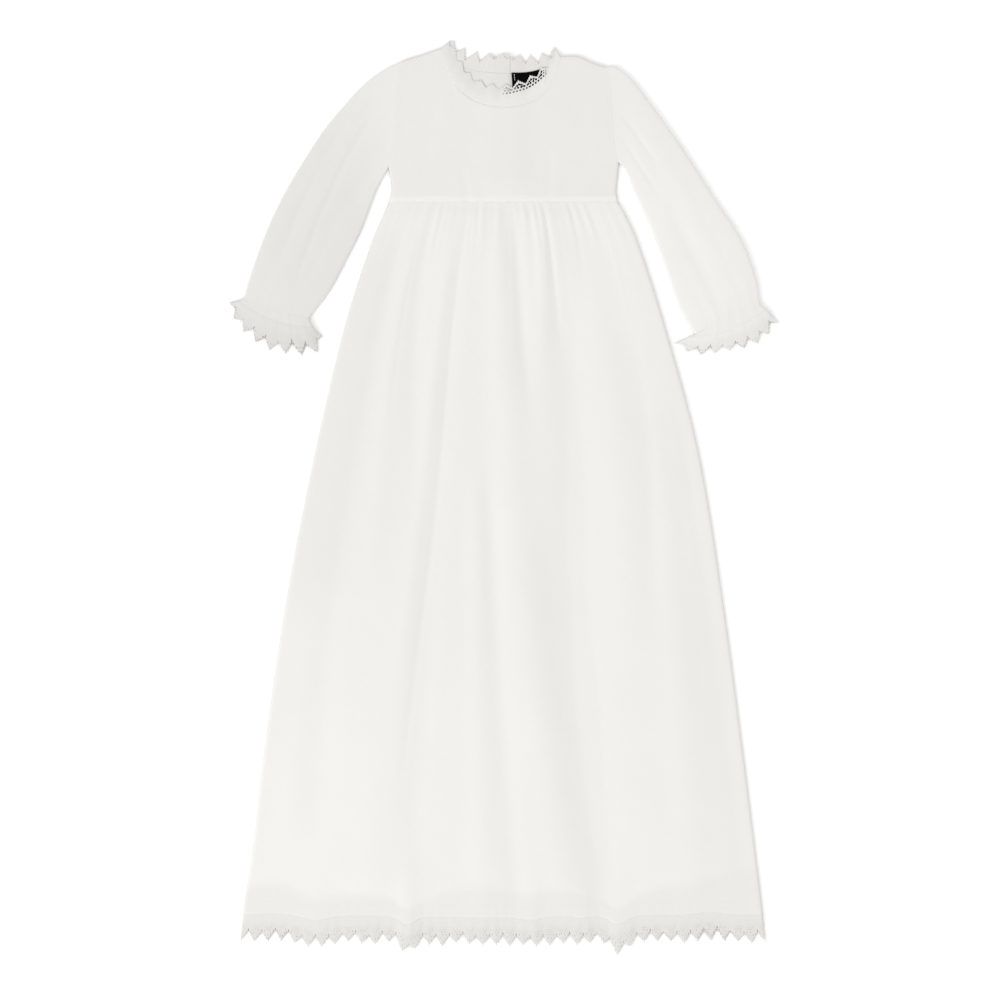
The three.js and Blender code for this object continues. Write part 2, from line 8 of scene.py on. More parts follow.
import bpy
import numpy as np
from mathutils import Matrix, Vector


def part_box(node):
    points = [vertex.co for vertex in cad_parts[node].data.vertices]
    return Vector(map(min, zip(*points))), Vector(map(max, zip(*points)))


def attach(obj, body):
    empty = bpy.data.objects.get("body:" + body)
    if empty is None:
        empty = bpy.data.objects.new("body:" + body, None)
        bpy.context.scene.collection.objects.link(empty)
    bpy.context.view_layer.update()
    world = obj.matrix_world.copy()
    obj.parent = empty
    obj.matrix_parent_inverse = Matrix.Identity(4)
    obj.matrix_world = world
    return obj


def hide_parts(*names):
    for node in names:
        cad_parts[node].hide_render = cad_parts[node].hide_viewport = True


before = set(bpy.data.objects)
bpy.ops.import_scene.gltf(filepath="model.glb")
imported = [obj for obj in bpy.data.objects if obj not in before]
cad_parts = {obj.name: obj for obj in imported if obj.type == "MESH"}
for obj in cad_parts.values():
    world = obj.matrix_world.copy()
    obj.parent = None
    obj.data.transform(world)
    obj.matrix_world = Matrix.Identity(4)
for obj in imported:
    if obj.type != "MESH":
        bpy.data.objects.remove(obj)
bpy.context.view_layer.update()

# %% [markdown]
# ## Curves for a pattern cutter
# A pattern is drawn with a few measured points and a smooth line through them. These helpers do the
# same with whole arrays: a smooth line, lines joined end to end, a line moved sideways, and a patch
# of cloth that fills the space between four lines.

# %% Smooth steps and bells
def smooth_step(a, b, x):
    """0 below a, 1 above b, and three times the square less twice the cube of the share between."""
    t = np.clip((np.asarray(x, float) - a) / (b - a), 0, 1)
    return t * t * (3 - 2 * t)


def within(x, a, b, c, d):
    """Up from 0 to 1 between a and b, and down again between c and d."""
    return smooth_step(a, b, x) * (1 - smooth_step(c, d, x))


def bell(x):
    """e to the power of minus x squared."""
    return np.exp(-np.square(x))


def wave(turns):
    """The cosine of a number of whole turns."""
    return np.cos(2 * np.pi * np.asarray(turns, float))


def sway(turns, start=0.0):
    """The sine of a number of whole turns, from a start in radians."""
    return np.sin(2 * np.pi * turns + start)


def lerp(a, b, t):
    """a plus the share t of the way to b."""
    return a + (b - a) * t


def swell(share, power):
    """Four times share times one less share, to a power: 0 at both sides and 1 in the middle."""
    return np.clip(4 * share * (1 - share), 0, 1) ** power


def table(names, *rows):
    """Rows of numbers as named columns."""
    return {name: np.array([row[i] for row in rows], float) for i, name in enumerate(names.split())}


def each_row(columns):
    """The rows of a table, one dictionary for each."""
    return [dict(zip(columns, row)) for row in zip(*columns.values())]


print("a smooth step at a quarter, a half and three quarters:", smooth_step(0, 1, [0.25, 0.5, 0.75]))

# %% Smooth lines
def through(key, value, at):
    """A cubic between each two rows, whose slope at a row comes from the rows on both sides."""
    key, value, at = (np.asarray(x, float) for x in (key, value, at))
    last = len(key) - 1
    i = np.minimum(np.searchsorted(key[1:], at), last - 1)
    rows = np.arange(last + 1)
    before, after = np.maximum(rows - 1, 0), np.minimum(rows + 1, last)
    slope = (value[after] - value[before]) / (key[after] - key[before])
    span = key[i + 1] - key[i]
    t = np.clip((at - key[i]) / span, 0, 1)
    rise = value[i + 1] - value[i]
    s0, s1 = slope[i] * span, slope[i + 1] * span
    return value[i] + t * s0 + t**2 * (3 * rise - 2 * s0 - s1) + t**3 * (s0 + s1 - 2 * rise)


def line(points):
    """A smooth line through points, with t from 0 to 1 by the length of its chords."""
    points = np.asarray(points, float)
    along = np.r_[0, np.cumsum(np.hypot(*np.diff(points, axis=0).T))]

    def path(t):
        at = np.asarray(t, float) * along[-1]
        return np.stack([through(along, points[:, k], at) for k in (0, 1)], -1)

    return path


def chain(lines, joints):
    """Lines one after another, each over its own share of t, up to the next of the joints."""
    ends = [0, *joints, 1]

    def path(t):
        t = np.asarray(t, float)
        found = lines[0](np.clip(t / ends[1], 0, 1))
        for k in range(1, len(lines)):
            share = np.clip((t - ends[k]) / (ends[k + 1] - ends[k]), 0, 1)
            found = np.where((t > ends[k])[..., None], lines[k](share), found)
        return found

    return path


def beside(path, gap):
    """A line moved by a gap to the left of its run."""

    def moved(t):
        t = np.asarray(t, float)
        run = path(np.minimum(1, t + 0.005)) - path(np.maximum(0, t - 0.005))
        run = run / np.linalg.norm(run, axis=-1, keepdims=True)
        return path(t) + gap * np.stack([-run[..., 1], run[..., 0]], -1)

    return moved


def straight(p, q):
    """The points from p to q."""
    return lambda t: lerp(np.array(p, float), np.array(q, float), np.asarray(t, float)[..., None])


def share_at(path, x):
    """The share of a line at which it reaches x."""
    t = np.linspace(0, 1, 4001)
    return float(np.interp(x, path(t)[:, 0], t))


def patch(low, high, left, right):
    """The blend of low and high, plus that of left and right, less the flat patch between the four
    corners."""

    def place(u, v):
        across = lerp(low(u), high(u), v[..., None])
        up = lerp(left(v), right(v), u[..., None])
        corners = lerp(lerp(low(0.0), low(1.0), u[..., None]), lerp(high(0.0), high(1.0), u[..., None]),
                       v[..., None])
        return across + up - corners

    return place


print("halfway along a line through three points:", line([(0, 0), (3, 4), (6, 0)])(0.5))

# %% [markdown]
# ## From a pattern to a piece of cloth
# Cloth is a thin sheet, so each piece starts as a grid of points on its outer face. The sheet then
# gets its thickness on the inner side. Every piece keeps its own flat cut as a map, in metres, so
# that the weave has the same size all over the gown.

# %% Meshes from arrays
# The pattern is drawn in millimetres from the middle of the gown. The back skirt's box says where
# the middle lies in the frame.
low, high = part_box("back_skirt")
HEM_MIDDLE_X, HEM_Y = -1.575, 296 - 0.3 - 713
SHIFT = np.array([(low.x + high.x) * 500 - HEM_MIDDLE_X, low.y * 1000 - HEM_Y, 0.0])
print("back skirt from", low * 1000, "to", high * 1000)


def grid_quads(rows, columns, closed=False):
    """The four corners of every cell of a grid, which may close on itself across."""
    i, j = np.meshgrid(np.arange(rows - 1), np.arange(columns if closed else columns - 1), indexing="ij")
    k = (j + 1) % columns
    corners = [i * columns + j, i * columns + k, (i + 1) * columns + k, (i + 1) * columns + j]
    return np.stack(corners, -1).reshape(-1, 4)


def outward(points, faces, tube=False):
    """The faces, turned over if they look down, or into the tube."""
    a, b, c = (points[faces[:, k]] for k in range(3))
    up = np.cross(b - a, c - a)[:, 2]
    weight = a[:, 2] - points[:, 2].mean() if tube else 1
    return faces if (up * weight).sum() > 0 else faces[:, ::-1]


def add_object(name, data):
    """An object in the scene that holds a mesh, a lamp or a camera."""
    made = bpy.data.objects.new(name, data)
    bpy.context.scene.collection.objects.link(made)
    return made


def make_piece(name, points, faces, cut, material, thick=0.0, doubled_cloth_and_painted_shade=None):
    """A mesh from points in millimetres and arrays of faces, with its flat cut as a map."""
    mesh = bpy.data.meshes.new(name)
    placed = (points + SHIFT) * 0.001
    mesh.from_pydata(placed.tolist(), [], [face for group in faces for face in group.tolist()])
    corner = np.zeros(len(mesh.loops), np.int32)
    mesh.loops.foreach_get("vertex_index", corner)
    flat = mesh.uv_layers.new(name="cut")
    flat.data.foreach_set("uv", (cut[corner] * 0.001).astype(np.float32).ravel())
    # This point attribute marks two-fold cloth on some pieces, and painted shade or painted light on
    # others.
    doubled_and_painted = mesh.attributes.new("doubled_cloth_and_painted_shade", "FLOAT", "POINT")
    doubled_and_painted.data.foreach_set("value", np.zeros(len(points), np.float32) if doubled_cloth_and_painted_shade is None
                             else np.asarray(doubled_cloth_and_painted_shade, np.float32).ravel())
    mesh.polygons.foreach_set("use_smooth", np.ones(len(mesh.polygons), bool))
    mesh.materials.append(material)
    mesh.update()
    piece = add_object(name, mesh)
    if thick:
        shell = piece.modifiers.new("thickness", "SOLIDIFY")
        shell.thickness, shell.offset = thick * 0.001, -1
    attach(piece, "root")
    return piece


def cloth_piece(node, surface, across, along, material, name=None, thick=0.6,
                closed=False, cut=None, doubled_cloth_and_painted_shade=None):
    """A grid of points on a surface of two shares, as a piece that stands for one solid."""
    u, v = np.meshgrid(across, along)
    points = surface(u, v).reshape(-1, 3)
    faces = outward(points, grid_quads(len(along), len(across), closed), closed)
    flat = points[:, :2] if cut is None else cut(u, v).reshape(-1, 2)
    piece = make_piece(name or f"{node}_cloth", points, [faces], flat, material, thick,
                       None if doubled_cloth_and_painted_shade is None else doubled_cloth_and_painted_shade(u, v))
    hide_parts(node)
    return piece


def closer_at_sides(n):
    """Even shares, with a few more close to each side, where the cloth rolls over."""
    first = np.array([0, 0.0005, 0.0013, 0.0026, 0.0046, 0.0076, 0.0115])
    return np.r_[first, np.linspace(0.017, 0.983, n), 1 - first[::-1]]


def flat_area(plan_of, n=160):
    """The area in square metres of a plan: half the cross product of every cell's diagonals."""
    u, v = np.meshgrid(np.linspace(0, 1, n), np.linspace(0, 1, n))
    p = plan_of(u, v)
    a, b = p[1:, 1:] - p[:-1, :-1], p[1:, :-1] - p[:-1, 1:]
    return float(np.abs(a[..., 0] * b[..., 1] - a[..., 1] * b[..., 0]).sum() / 2) * 1e-6


print("pattern shift in millimetres:", SHIFT.round(2))

# %% [markdown]
# ## The weave and the colour of the cloth
# Fine cotton is a plain weave: each thread goes over one and under the next, about 30 threads to
# the centimetre. The threads are too fine to model, so a small repeating height gives them. Cotton
# that has been washed is never one even colour, so a slow, faint tone goes over it.

# %% A plain weave as a shader group
def new_group(name, inputs, outputs):
    """An empty shader group with named inputs and outputs, and its two end nodes."""
    group = bpy.data.node_groups.new(name, "ShaderNodeTree")
    for label, kind, value in inputs:
        socket = group.interface.new_socket(label, in_out="INPUT", socket_type=kind)
        if value is not None:
            socket.default_value = value
    for label, kind in outputs:
        group.interface.new_socket(label, in_out="OUTPUT", socket_type=kind)
    return group, group.nodes.new("NodeGroupInput"), group.nodes.new("NodeGroupOutput")


def shader_node(tree, kind, settings=None, **inputs):
    """A node with its settings. An input that is a socket is linked, and any other is a value."""
    made = tree.nodes.new("ShaderNode" + kind)
    for name, value in (settings or {}).items():
        setattr(made, name, value)
    for name, value in inputs.items():
        socket = made.inputs[name.replace("_", " ")]
        if isinstance(value, bpy.types.NodeSocket):
            tree.links.new(value, socket)
        else:
            socket.default_value = value
    return made


def math(group, operation, a, b=None):
    """One arithmetic node. Links stay links and numbers are set on the node."""
    made = shader_node(group, "Math", {"operation": operation})
    for socket, value in zip(made.inputs, (a, b)):
        if isinstance(value, (int, float)):
            socket.default_value = value
        elif value is not None:
            group.links.new(value, socket)
    return made.outputs[0]


def plain_weave():
    """The height is the larger of a warp thread and a weft thread, each the size of a sine, and
    each held down where the other one crosses over it."""
    group, start, end = new_group(
        "plain weave",
        [("Flat cut", "NodeSocketVector", None), ("Threads per metre", "NodeSocketFloat", 3000.0)],
        [("Height", "NodeSocketFloat")])
    parts = shader_node(group, "SeparateXYZ", Vector=start.outputs["Flat cut"])
    turn = math(group, "MULTIPLY", start.outputs["Threads per metre"], np.pi)
    x = math(group, "SINE", math(group, "MULTIPLY", parts.outputs["X"], turn))
    y = math(group, "SINE", math(group, "MULTIPLY", parts.outputs["Y"], turn))
    over = math(group, "MULTIPLY", math(group, "SIGN", math(group, "MULTIPLY", x, y)), 0.25)
    warp = math(group, "MULTIPLY", math(group, "ABSOLUTE", x), math(group, "ADD", over, 0.75))
    weft = math(group, "MULTIPLY", math(group, "ABSOLUTE", y), math(group, "SUBTRACT", 0.75, over))
    group.links.new(math(group, "MAXIMUM", warp, weft), end.inputs["Height"])
    return group


def washed_tone():
    """A slow noise, about 60 mm across, with faster ones, each at a third of the one before."""
    group, start, end = new_group(
        "washed tone",
        [("Place", "NodeSocketVector", None), ("Patches per metre", "NodeSocketFloat", 16.0)],
        [("Tone", "NodeSocketFloat")])
    noise = shader_node(group, "TexNoise", Detail=3.0, Roughness=0.35, Vector=start.outputs["Place"],
                        Scale=start.outputs["Patches per metre"])
    group.links.new(noise.outputs[0], end.inputs["Tone"])
    return group


WEAVE, TONE = plain_weave(), washed_tone()
print("groups:", WEAVE.name, "and", TONE.name)

# %% Woven materials
def finished(name, **finish):
    """A new material whose shader has these values, such as Roughness."""
    material = bpy.data.materials.new(name)
    material.use_nodes = True
    shader = material.node_tree.nodes["Principled BSDF"]
    for label, value in finish.items():
        shader.inputs[label.replace("_", " ")].default_value = value
    return material, material.node_tree, shader


def woven(name, colour, deep, doubled_and_painted_colour, threads, depth, rough, sheen, crumple=0.0, shine=0.2):
    """Colour goes from deep to its own by the tone, and towards a second colour by the mesh's attribute:
    two-fold cloth on the bodice and the hem, and painted shade or light on the sleeves, the lace and in
    zones of the skirt.
    """
    material, tree, shader = finished(name, Roughness=rough, Sheen_Weight=sheen, Sheen_Roughness=0.5,
                                      Specular_IOR_Level=shine)
    place = shader_node(tree, "TexCoord").outputs["Object"]
    tone = shader_node(tree, "Group", {"node_tree": TONE}, Place=place)
    doubled_and_painted = shader_node(tree, "Attribute", {"attribute_name": "doubled_cloth_and_painted_shade"})
    mix = {"data_type": "RGBA"}
    soft = shader_node(tree, "Mix", mix, A=(*deep, 1), B=(*colour, 1), Factor=tone.outputs["Tone"])
    pale = shader_node(tree, "Mix", mix, A=soft.outputs["Result"], B=(*doubled_and_painted_colour, 1),
                       Factor=doubled_and_painted.outputs["Fac"])
    flat = shader_node(tree, "UVMap", {"uv_map": "cut"})
    weave = shader_node(tree, "Group", {"node_tree": WEAVE}, Threads_per_metre=threads,
                        Flat_cut=flat.outputs["UV"])
    bump = shader_node(tree, "Bump", Strength=0.35, Distance=depth, Height=weave.outputs["Height"])
    if crumple:
        fine = shader_node(tree, "TexNoise", Scale=42.0, Detail=4.0, Vector=place)
        creased = shader_node(tree, "Bump", Strength=1.0, Distance=crumple, Height=fine.outputs[0])
        tree.links.new(creased.outputs["Normal"], bump.inputs["Normal"])
    tree.links.new(pale.outputs["Result"], shader.inputs["Base Color"])
    tree.links.new(bump.outputs["Normal"], shader.inputs["Normal"])
    return material


def shaded(colour, share):
    """A colour with each of its parts times a share."""
    return tuple(share * part for part in colour)


OFF_WHITE, LACE_WHITE = (0.815, 0.806, 0.778), (0.775, 0.765, 0.735)


def cotton(name, tone, doubled_and_painted):
    """Fine cotton of one panel. Its share paints the panel's light or shade into its colour, and the
    second share gives its colour where the cloth lies two-fold, or where it has more painted shade or
    light.
    """
    colour = shaded(OFF_WHITE, tone)
    return woven(name, colour, shaded(colour, 0.965), shaded(colour, doubled_and_painted), 3000.0, 0.00005, 0.88,
                 0.15, crumple=0.0006)


def lace_cotton(name, tone):
    """The lace's thicker, more matt thread. Its share paints the light or shade on each lace into its
    colour.
    """
    colour = shaded(LACE_WHITE, tone)
    return woven(name, colour, shaded(colour, 0.965), shaded(colour, 1.052), 2200.0, 0.00012, 0.92, 0.1)


# Painted shade and painted light: each panel's share stands in for how light falls on it. The bodice, the
# back, the left sleeve, the left cuff and the hem's lace are painted deeper, as if in shade, and the skirt
# and the right sleeve a little paler.
SKIRT_COTTON = cotton("fine cotton, skirt", 1.01, 0.93)
BODICE_COTTON = cotton("fine cotton, bodice", 0.965, 1.03)
BACK_COTTON = cotton("fine cotton, back", 0.90, 1.0)
SLEEVE_COTTON = {"left": cotton("fine cotton, left sleeve", 0.91, 1.058),
                 "right": cotton("fine cotton, right sleeve", 1.01, 0.96)}
HEM_LACE, NECK_LACE = lace_cotton("lace cotton, hem", 0.915), lace_cotton("lace cotton, neck", 0.965)
CUFF_LACE = {side: lace_cotton(f"lace cotton, {side} cuff", tone)
             for side, tone in (("left", 0.865), ("right", 0.98))}
BLACK_TAPE = woven("black woven tape", (0.003, 0.003, 0.0034), (0.0025, 0.0025, 0.003),
                   (0.004, 0.004, 0.004), 1800.0, 0.0001, 0.8, 0.0, shine=0.02)
THREAD = woven("sewing thread", (0.82, 0.81, 0.78), (0.80, 0.79, 0.76), (0.82, 0.81, 0.78),
               4000.0, 0.00005, 0.75, 0.2)
print("woven materials:", len(bpy.data.materials))

# %% [markdown]
# ## The long skirt
# The skirt is much wider than the bodice, so its top is gathered: two rows of long stitches are
# pulled up until it fits. Below the seam the gathers open into soft folds that run down to the hem.
# Each fold here is a smooth trough or ridge whose place drifts as it goes down, because real folds
# are never straight or evenly spaced.

# %% Measures of the skirt
CLOTH, SEAM = 1.2, 0.3
WAIST_Y, WAIST_LEFT, WAIST_RIGHT = 296.0, -115.0, 113.0
SKIRT_LENGTH, LACE_DEPTH, POINT_SHARE, HEM_POINTS = 713.0, 27.0, 0.37, 39
TOP_OF_FRONT = CLOTH + SEAM + CLOTH
FOLD_LINE = 1.35  # where the front and the back meet at the sides
BACK_FACE, ON_BACK = 0.62, 1.35  # the upper face of what lies on the surface, and what lies on the back

skirt_sides = table("drop left right",
    (0, 115, 113), (8, 118.5, 118.5), (38, 131.5, 132.5), (118, 157.5, 158.5), (248, 188.5, 193.5),
    (408, 219.5, 219.5), (568, 242.5, 240.5), (648, 251.5, 250.5), (698, 259.5, 256.5), (760, 266, 263))
skirt_folds = table("top middle foot start end rise wide",
    (0.300, 0.285, 0.250, 0.02, 0.76, 0.9, 0.020), (0.340, 0.326, 0.320, 0.02, 0.98, -1.2, 0.028),
    (0.465, 0.530, 0.625, 0.00, 1.06, 2.3, 0.046), (0.705, 0.662, 0.706, 0.10, 1.06, -2.4, 0.050),
    (0.538, 0.580, 0.640, 0.00, 0.34, -1.6, 0.022), (0.648, 0.560, 0.500, 0.00, 0.30, 1.3, 0.024),
    (0.668, 0.666, 0.664, 0.00, 0.24, -1.4, 0.010), (0.815, 0.791, 0.780, 0.06, 0.70, 1.6, 0.046),
    (0.930, 0.892, 0.873, 0.30, 1.06, 1.9, 0.038), (0.925, 0.850, 0.780, 0.18, 0.62, -0.9, 0.020),
    (0.970, 0.967, 0.978, 0.25, 1.06, -1.0, 0.016), (0.104, 0.104, 0.126, 0.02, 0.98, -1.5, 0.030),
    (0.145, 0.184, 0.215, 0.02, 0.60, 1.0, 0.026), (0.190, 0.285, 0.350, 0.02, 0.46, -1.4, 0.030),
    (0.330, 0.275, 0.235, 0.46, 1.06, 1.5, 0.055), (0.370, 0.434, 0.462, 0.36, 1.06, 1.2, 0.026),
    (0.400, 0.471, 0.528, 0.36, 1.06, -1.3, 0.022), (0.050, 0.055, 0.070, 0.58, 1.02, 0.9, 0.026),
    (0.342, 0.322, 0.270, 0.02, 0.86, -0.55, 0.0075), (0.168, 0.190, 0.190, 0.00, 0.36, -0.45, 0.007),
    (0.653, 0.655, 0.655, 0.00, 0.24, -0.50, 0.006))
# Painted shade and painted light: each zone paints the skirt's colour deeper where its deep is above zero,
# and paler where it is below, in bands where less or more light falls.
skirt_painted_light_and_shade = table("top middle foot start end deep wide",
    (0.030, 0.050, 0.070, 0.02, 0.62, 0.90, 0.090), (0.190, 0.215, 0.215, 0.02, 0.58, 0.25, 0.030),
    (0.560, 0.585, 0.675, 0.44, 1.20, 0.45, 0.034), (0.930, 0.930, 0.960, 0.52, 1.20, 0.40, 0.050),
    (0.960, 0.930, 0.930, -0.1, 0.34, -0.35, 0.110), (0.120, 0.120, 0.140, 0.70, 1.20, -0.25, 0.160),
    (0.730, 0.730, 0.720, 0.20, 0.72, -0.20, 0.045), (0.840, 0.850, 0.850, 0.15, 0.50, 0.12, 0.030),
    (0.500, 0.500, 0.500, 0.15, 0.75, 0.15, 0.600))
hem_dips = table("at deep wide rise",
    (-20, 3.5, 120, 0.0), (-230, -2, 20, 0.0), (-186.5, 6, 17, 0.9), (-96.5, 10.5, 10, 1.4),
    (26.5, 4, 12, 0.8), (80, 2.5, 9, 0.6), (114.5, 11, 12, 1.4), (205, -4, 16, 0.0))
print("folds of the skirt:", len(skirt_folds["top"]))

# %% The skirt's folds
chance = np.random.default_rng(7)
small_gathers = {
    "at": np.linspace(0.05, 0.95, 17) + chance.uniform(-0.018, 0.018, 17),
    "wide": chance.uniform(0.007, 0.014, 17),
    "rise": chance.choice([-1, -1, 1], 17) * chance.uniform(0.4, 1.1, 17),
    "long": chance.uniform(40, 150, 17),
    "lean": chance.uniform(-0.005, 0.005, 17),
}


def side_x(side, drop):
    """Half the skirt's width on one side, a distance below the waist."""
    return through(skirt_sides["drop"], skirt_sides[side], drop)


def hem_value(key, x):
    """The sum of the hem's dips, each a bell round its own place."""
    return sum(row[key] * bell((x - row["at"]) / row["wide"]) for row in each_row(hem_dips))


def skirt_plan(u, v, dips=1.0):
    """Across between the two sides, and down by the length, with the folds' dips near the hem."""
    drop = v * SKIRT_LENGTH
    x = lerp(-side_x("left", drop), side_x("right", drop), u)
    y = WAIST_Y - SEAM - drop - dips * 0.75 * hem_value("deep", x) * smooth_step(0.8, 1, v)
    return np.stack([x, y], -1)


def gathers(u, drop):
    """An uneven wave across the waist that dies away below it, with finer ones in between."""
    drift = 0.30 * sway(3.3 * u, 0.7) + 0.16 * sway(7.7 * u)
    deep = 0.75 + 0.45 * sway(5 * u, 1) + 0.2 * sway(11 * u)
    reach = 40 + 16 * sway(4.3 * u, 2)
    large = 0.4 * deep * wave(24 * u + drift) * bell(drop / reach)
    fine = 0.05 * wave(57 * u + 2 * drift) * bell(drop / 11)
    narrow = sum(
        row["rise"] * bell((u - row["at"] - row["lean"] * drop / 60) / row["wide"])
        * (1 - smooth_step(0.25 * row["long"], row["long"], drop)) for row in each_row(small_gathers))
    return large + fine + 0.45 * narrow


def drifting(rows, key, u, v):
    """The sum of bells across the skirt, whose places drift on the way down, each with two ends."""
    total = 0
    for f in each_row(rows):
        upper, lower = lerp(f["top"], f["middle"], 2 * v), lerp(f["middle"], f["foot"], 2 * v - 1)
        place = np.where(v < 0.5, upper, lower)
        ends = within(v, f["start"] - 0.03, f["start"] + 0.1, f["end"] - 0.16, f["end"])
        total = total + f[key] * ends * bell((u - place) / f["wide"])
    return total


def skirt_relief(u, v):
    """How far the front stands above its flat state: a loft, the gathers, the folds and the hem."""
    folds = drifting(skirt_folds, "rise", u, v)
    loft = 2.3 + 0.5 * np.cos(2 * np.pi * 3 * u + 4 * v)
    x = skirt_plan(u, v)[..., 0]
    hem = hem_value("rise", x) * smooth_step(0.84, 1, v) - 0.9 * smooth_step(0.93, 1, v)
    pucker = 0.08 * wave(44 * u + 0.5 * sway(6 * u)) * smooth_step(0.955, 0.998, v)
    slow = 0.22 * sway(2.3 * u + 1.1 * v, 1) * sway(1.2 * u - 2.6 * v)
    height = swell(u, 0.5) * (loft + gathers(u, v * SKIRT_LENGTH) + folds + hem + pucker + slow)
    from_seam = 0.4 + 0.6 * smooth_step(0, 16, v * SKIRT_LENGTH)
    return np.clip(height, 0, 6.5) * from_seam


def roll(distance, radius):
    """Height share of a rounded edge: a quarter circle of that radius, then 1."""
    near = 1 - np.clip(distance / radius, 0, 1)
    return np.sqrt(np.clip(1 - near * near, 0, 1))


def folded(z, edge):
    """A height, drawn to the fold line where the height share of the edge is less than 1."""
    return FOLD_LINE + (z - FOLD_LINE) * edge


def skirt_roll(u, v):
    """The rounding of both sides, where the front and the back meet."""
    width = side_x("left", v * SKIRT_LENGTH) + side_x("right", v * SKIRT_LENGTH)
    return roll(np.minimum(u, 1 - u) * width, 2.4)


def raised_to(plan, z):
    """Points of a plan with their heights."""
    return np.concatenate([plan, z[..., None]], -1)


def front_skirt_surface(u, v):
    """The plan, with the relief above the front's flat top, rolled down at both sides."""
    plan = skirt_plan(u, v)
    # The seam's turned edge goes a little way up, and down under the bodice.
    under = 1 - smooth_step(0, 0.001, v)
    seam = 0.15 * bell(v * SKIRT_LENGTH / 4) + 0.6 * under
    z = folded(TOP_OF_FRONT + skirt_relief(u, v), skirt_roll(u, v)) - seam
    y = plan[..., 1] + (SEAM + 1.9) * under
    return np.stack([plan[..., 0], y, z], -1)


def hem_layers(u, v):
    """Towards 1 over the turned-up hem, whose upper edge wanders."""
    wander = 7 * sway(2.2 * u, 1) + 4 * sway(5.3 * u) + 12 * smooth_step(0.7, 0.95, u)
    from_hem = (1 - v) * SKIRT_LENGTH
    return smooth_step(30 + wander, 10 + 0.4 * wander, from_hem)


def skirt_hem_and_painted_shade(u, v):
    """Deeper over the turned-up hem, with a little painted shade all over, and painted shade or painted
    light in the listed zones.
    """
    return 0.3 + 1.3 * hem_layers(u, v) + drifting(skirt_painted_light_and_shade, "deep", u, v)


skirt_rows = np.r_[0, 0.00025, 0.0005, 0.00075, 0.001, 0.0016, 0.0024,
                   np.linspace(0.0035, 0.04, 14)[:-1], np.linspace(0.04, 0.96, 112),
                   np.linspace(0.96, 1, 14)[1:]]
front_skirt = cloth_piece("front_skirt", front_skirt_surface, closer_at_sides(236), skirt_rows,
                          SKIRT_COTTON, doubled_cloth_and_painted_shade=skirt_hem_and_painted_shade)
flat_area(skirt_plan)
print("front skirt, flat area in square metres:", round(flat_area(skirt_plan), 4))

# %% The back of the skirt, flat on the surface
def back_skirt_surface(u, v):
    """The plan without dips, flat, and rolled up to meet the front at both sides."""
    return raised_to(skirt_plan(u, v, 0), folded(BACK_FACE, skirt_roll(u, v)))


back_skirt = cloth_piece("back_skirt", back_skirt_surface, closer_at_sides(40),
                         np.linspace(0, 1, 60), SKIRT_COTTON, doubled_cloth_and_painted_shade=hem_layers)
flat_area(lambda u, v: skirt_plan(u, v, 0))
print("back skirt laid on the surface")

# %% [markdown]
# ## The bodice
# The front is cut in one and the back in two halves that lap over each other, because the gown
# opens down the back. Three small buttons close it. The front lies on the back and shows soft
# pulls above the waist seam.

# %% The bodice's pattern
neck_left, neck_right = (-64, 450), (56.5, 442)
underarm_left, underarm_right = (-116, 331), (114, 336)
shoulder_left, shoulder_right = (-102, 437.3), (101, 431.3)
left_side = [(WAIST_LEFT, WAIST_Y), (-112.5, 308), (-113.5, 318), underarm_left]
right_side = [(WAIST_RIGHT, WAIST_Y), (111.5, 308), (112.5, 318), underarm_right]
left_armhole = line([underarm_left, (-112.3, 352), (-108.8, 378), (-108.3, 410), (-105.5, 427),
                     shoulder_left])
right_armhole = line([underarm_right, (111, 350), (108.5, 378), (106.5, 410), (104, 424), shoulder_right])
left_shoulder = line([shoulder_left, (-86.5, 442), (-74.5, 446), neck_left])
right_shoulder = line([neck_right, (72.5, 442), (82.5, 438), (90.5, 434.5), shoulder_right])
front_neck = line([neck_left, (-58.5, 431), (-47.5, 411), (-27.5, 396), (-1.5, 391), (25.5, 395.5),
                   (43.5, 410), (53, 427), neck_right])
back_neck = line([neck_left, (-50, 437), (-29.5, 429), (-1.5, 426), (25.5, 427), (44, 433), neck_right])
SIDE_SHARE, OPENING_X, UPPER_EDGE_X, LOWER_EDGE_X = 0.25, -1.5, 5.5, -8.0
CHEST, HALF_BACK, CHEST_HEIGHT = 228, 120, 125
left_edge = chain([line(left_side), left_armhole], [SIDE_SHARE])
right_edge = chain([line(right_side), right_armhole], [SIDE_SHARE])
neck_shares = [0.2, 0.8]
front_plan = patch(straight((WAIST_LEFT, WAIST_Y), (WAIST_RIGHT, WAIST_Y)),
                   chain([left_shoulder, front_neck, right_shoulder], neck_shares), left_edge, right_edge)

# Soft pulls in the front: from low to high across it, between two heights.
pulls = table("low high start end rise wide",
    (0.335, 0.350, -0.2, 0.42, -0.40, 0.020), (0.375, 0.372, -0.2, 0.34, 0.25, 0.025),
    (0.700, 0.690, -0.1, 0.60, -0.38, 0.022), (0.735, 0.730, -0.2, 0.50, 0.25, 0.028),
    (0.560, 0.565, -0.2, 0.26, -0.25, 0.018), (0.140, 0.200, 0.05, 0.75, -0.4, 0.030),
    (0.880, 0.845, 0.10, 0.80, -0.4, 0.030), (0.240, 0.290, 0.35, 0.95, 0.30, 0.045))
print("bodice, flat area in square metres:", round(flat_area(front_plan), 4))

# %% The front bodice
def button_lift(x, y):
    """The buttons hold the back 1.5 mm off the surface close to the opening."""
    return 1.5 * (1 - smooth_step(9, 26, np.abs(x - OPENING_X))) * smooth_step(302, 322, y)


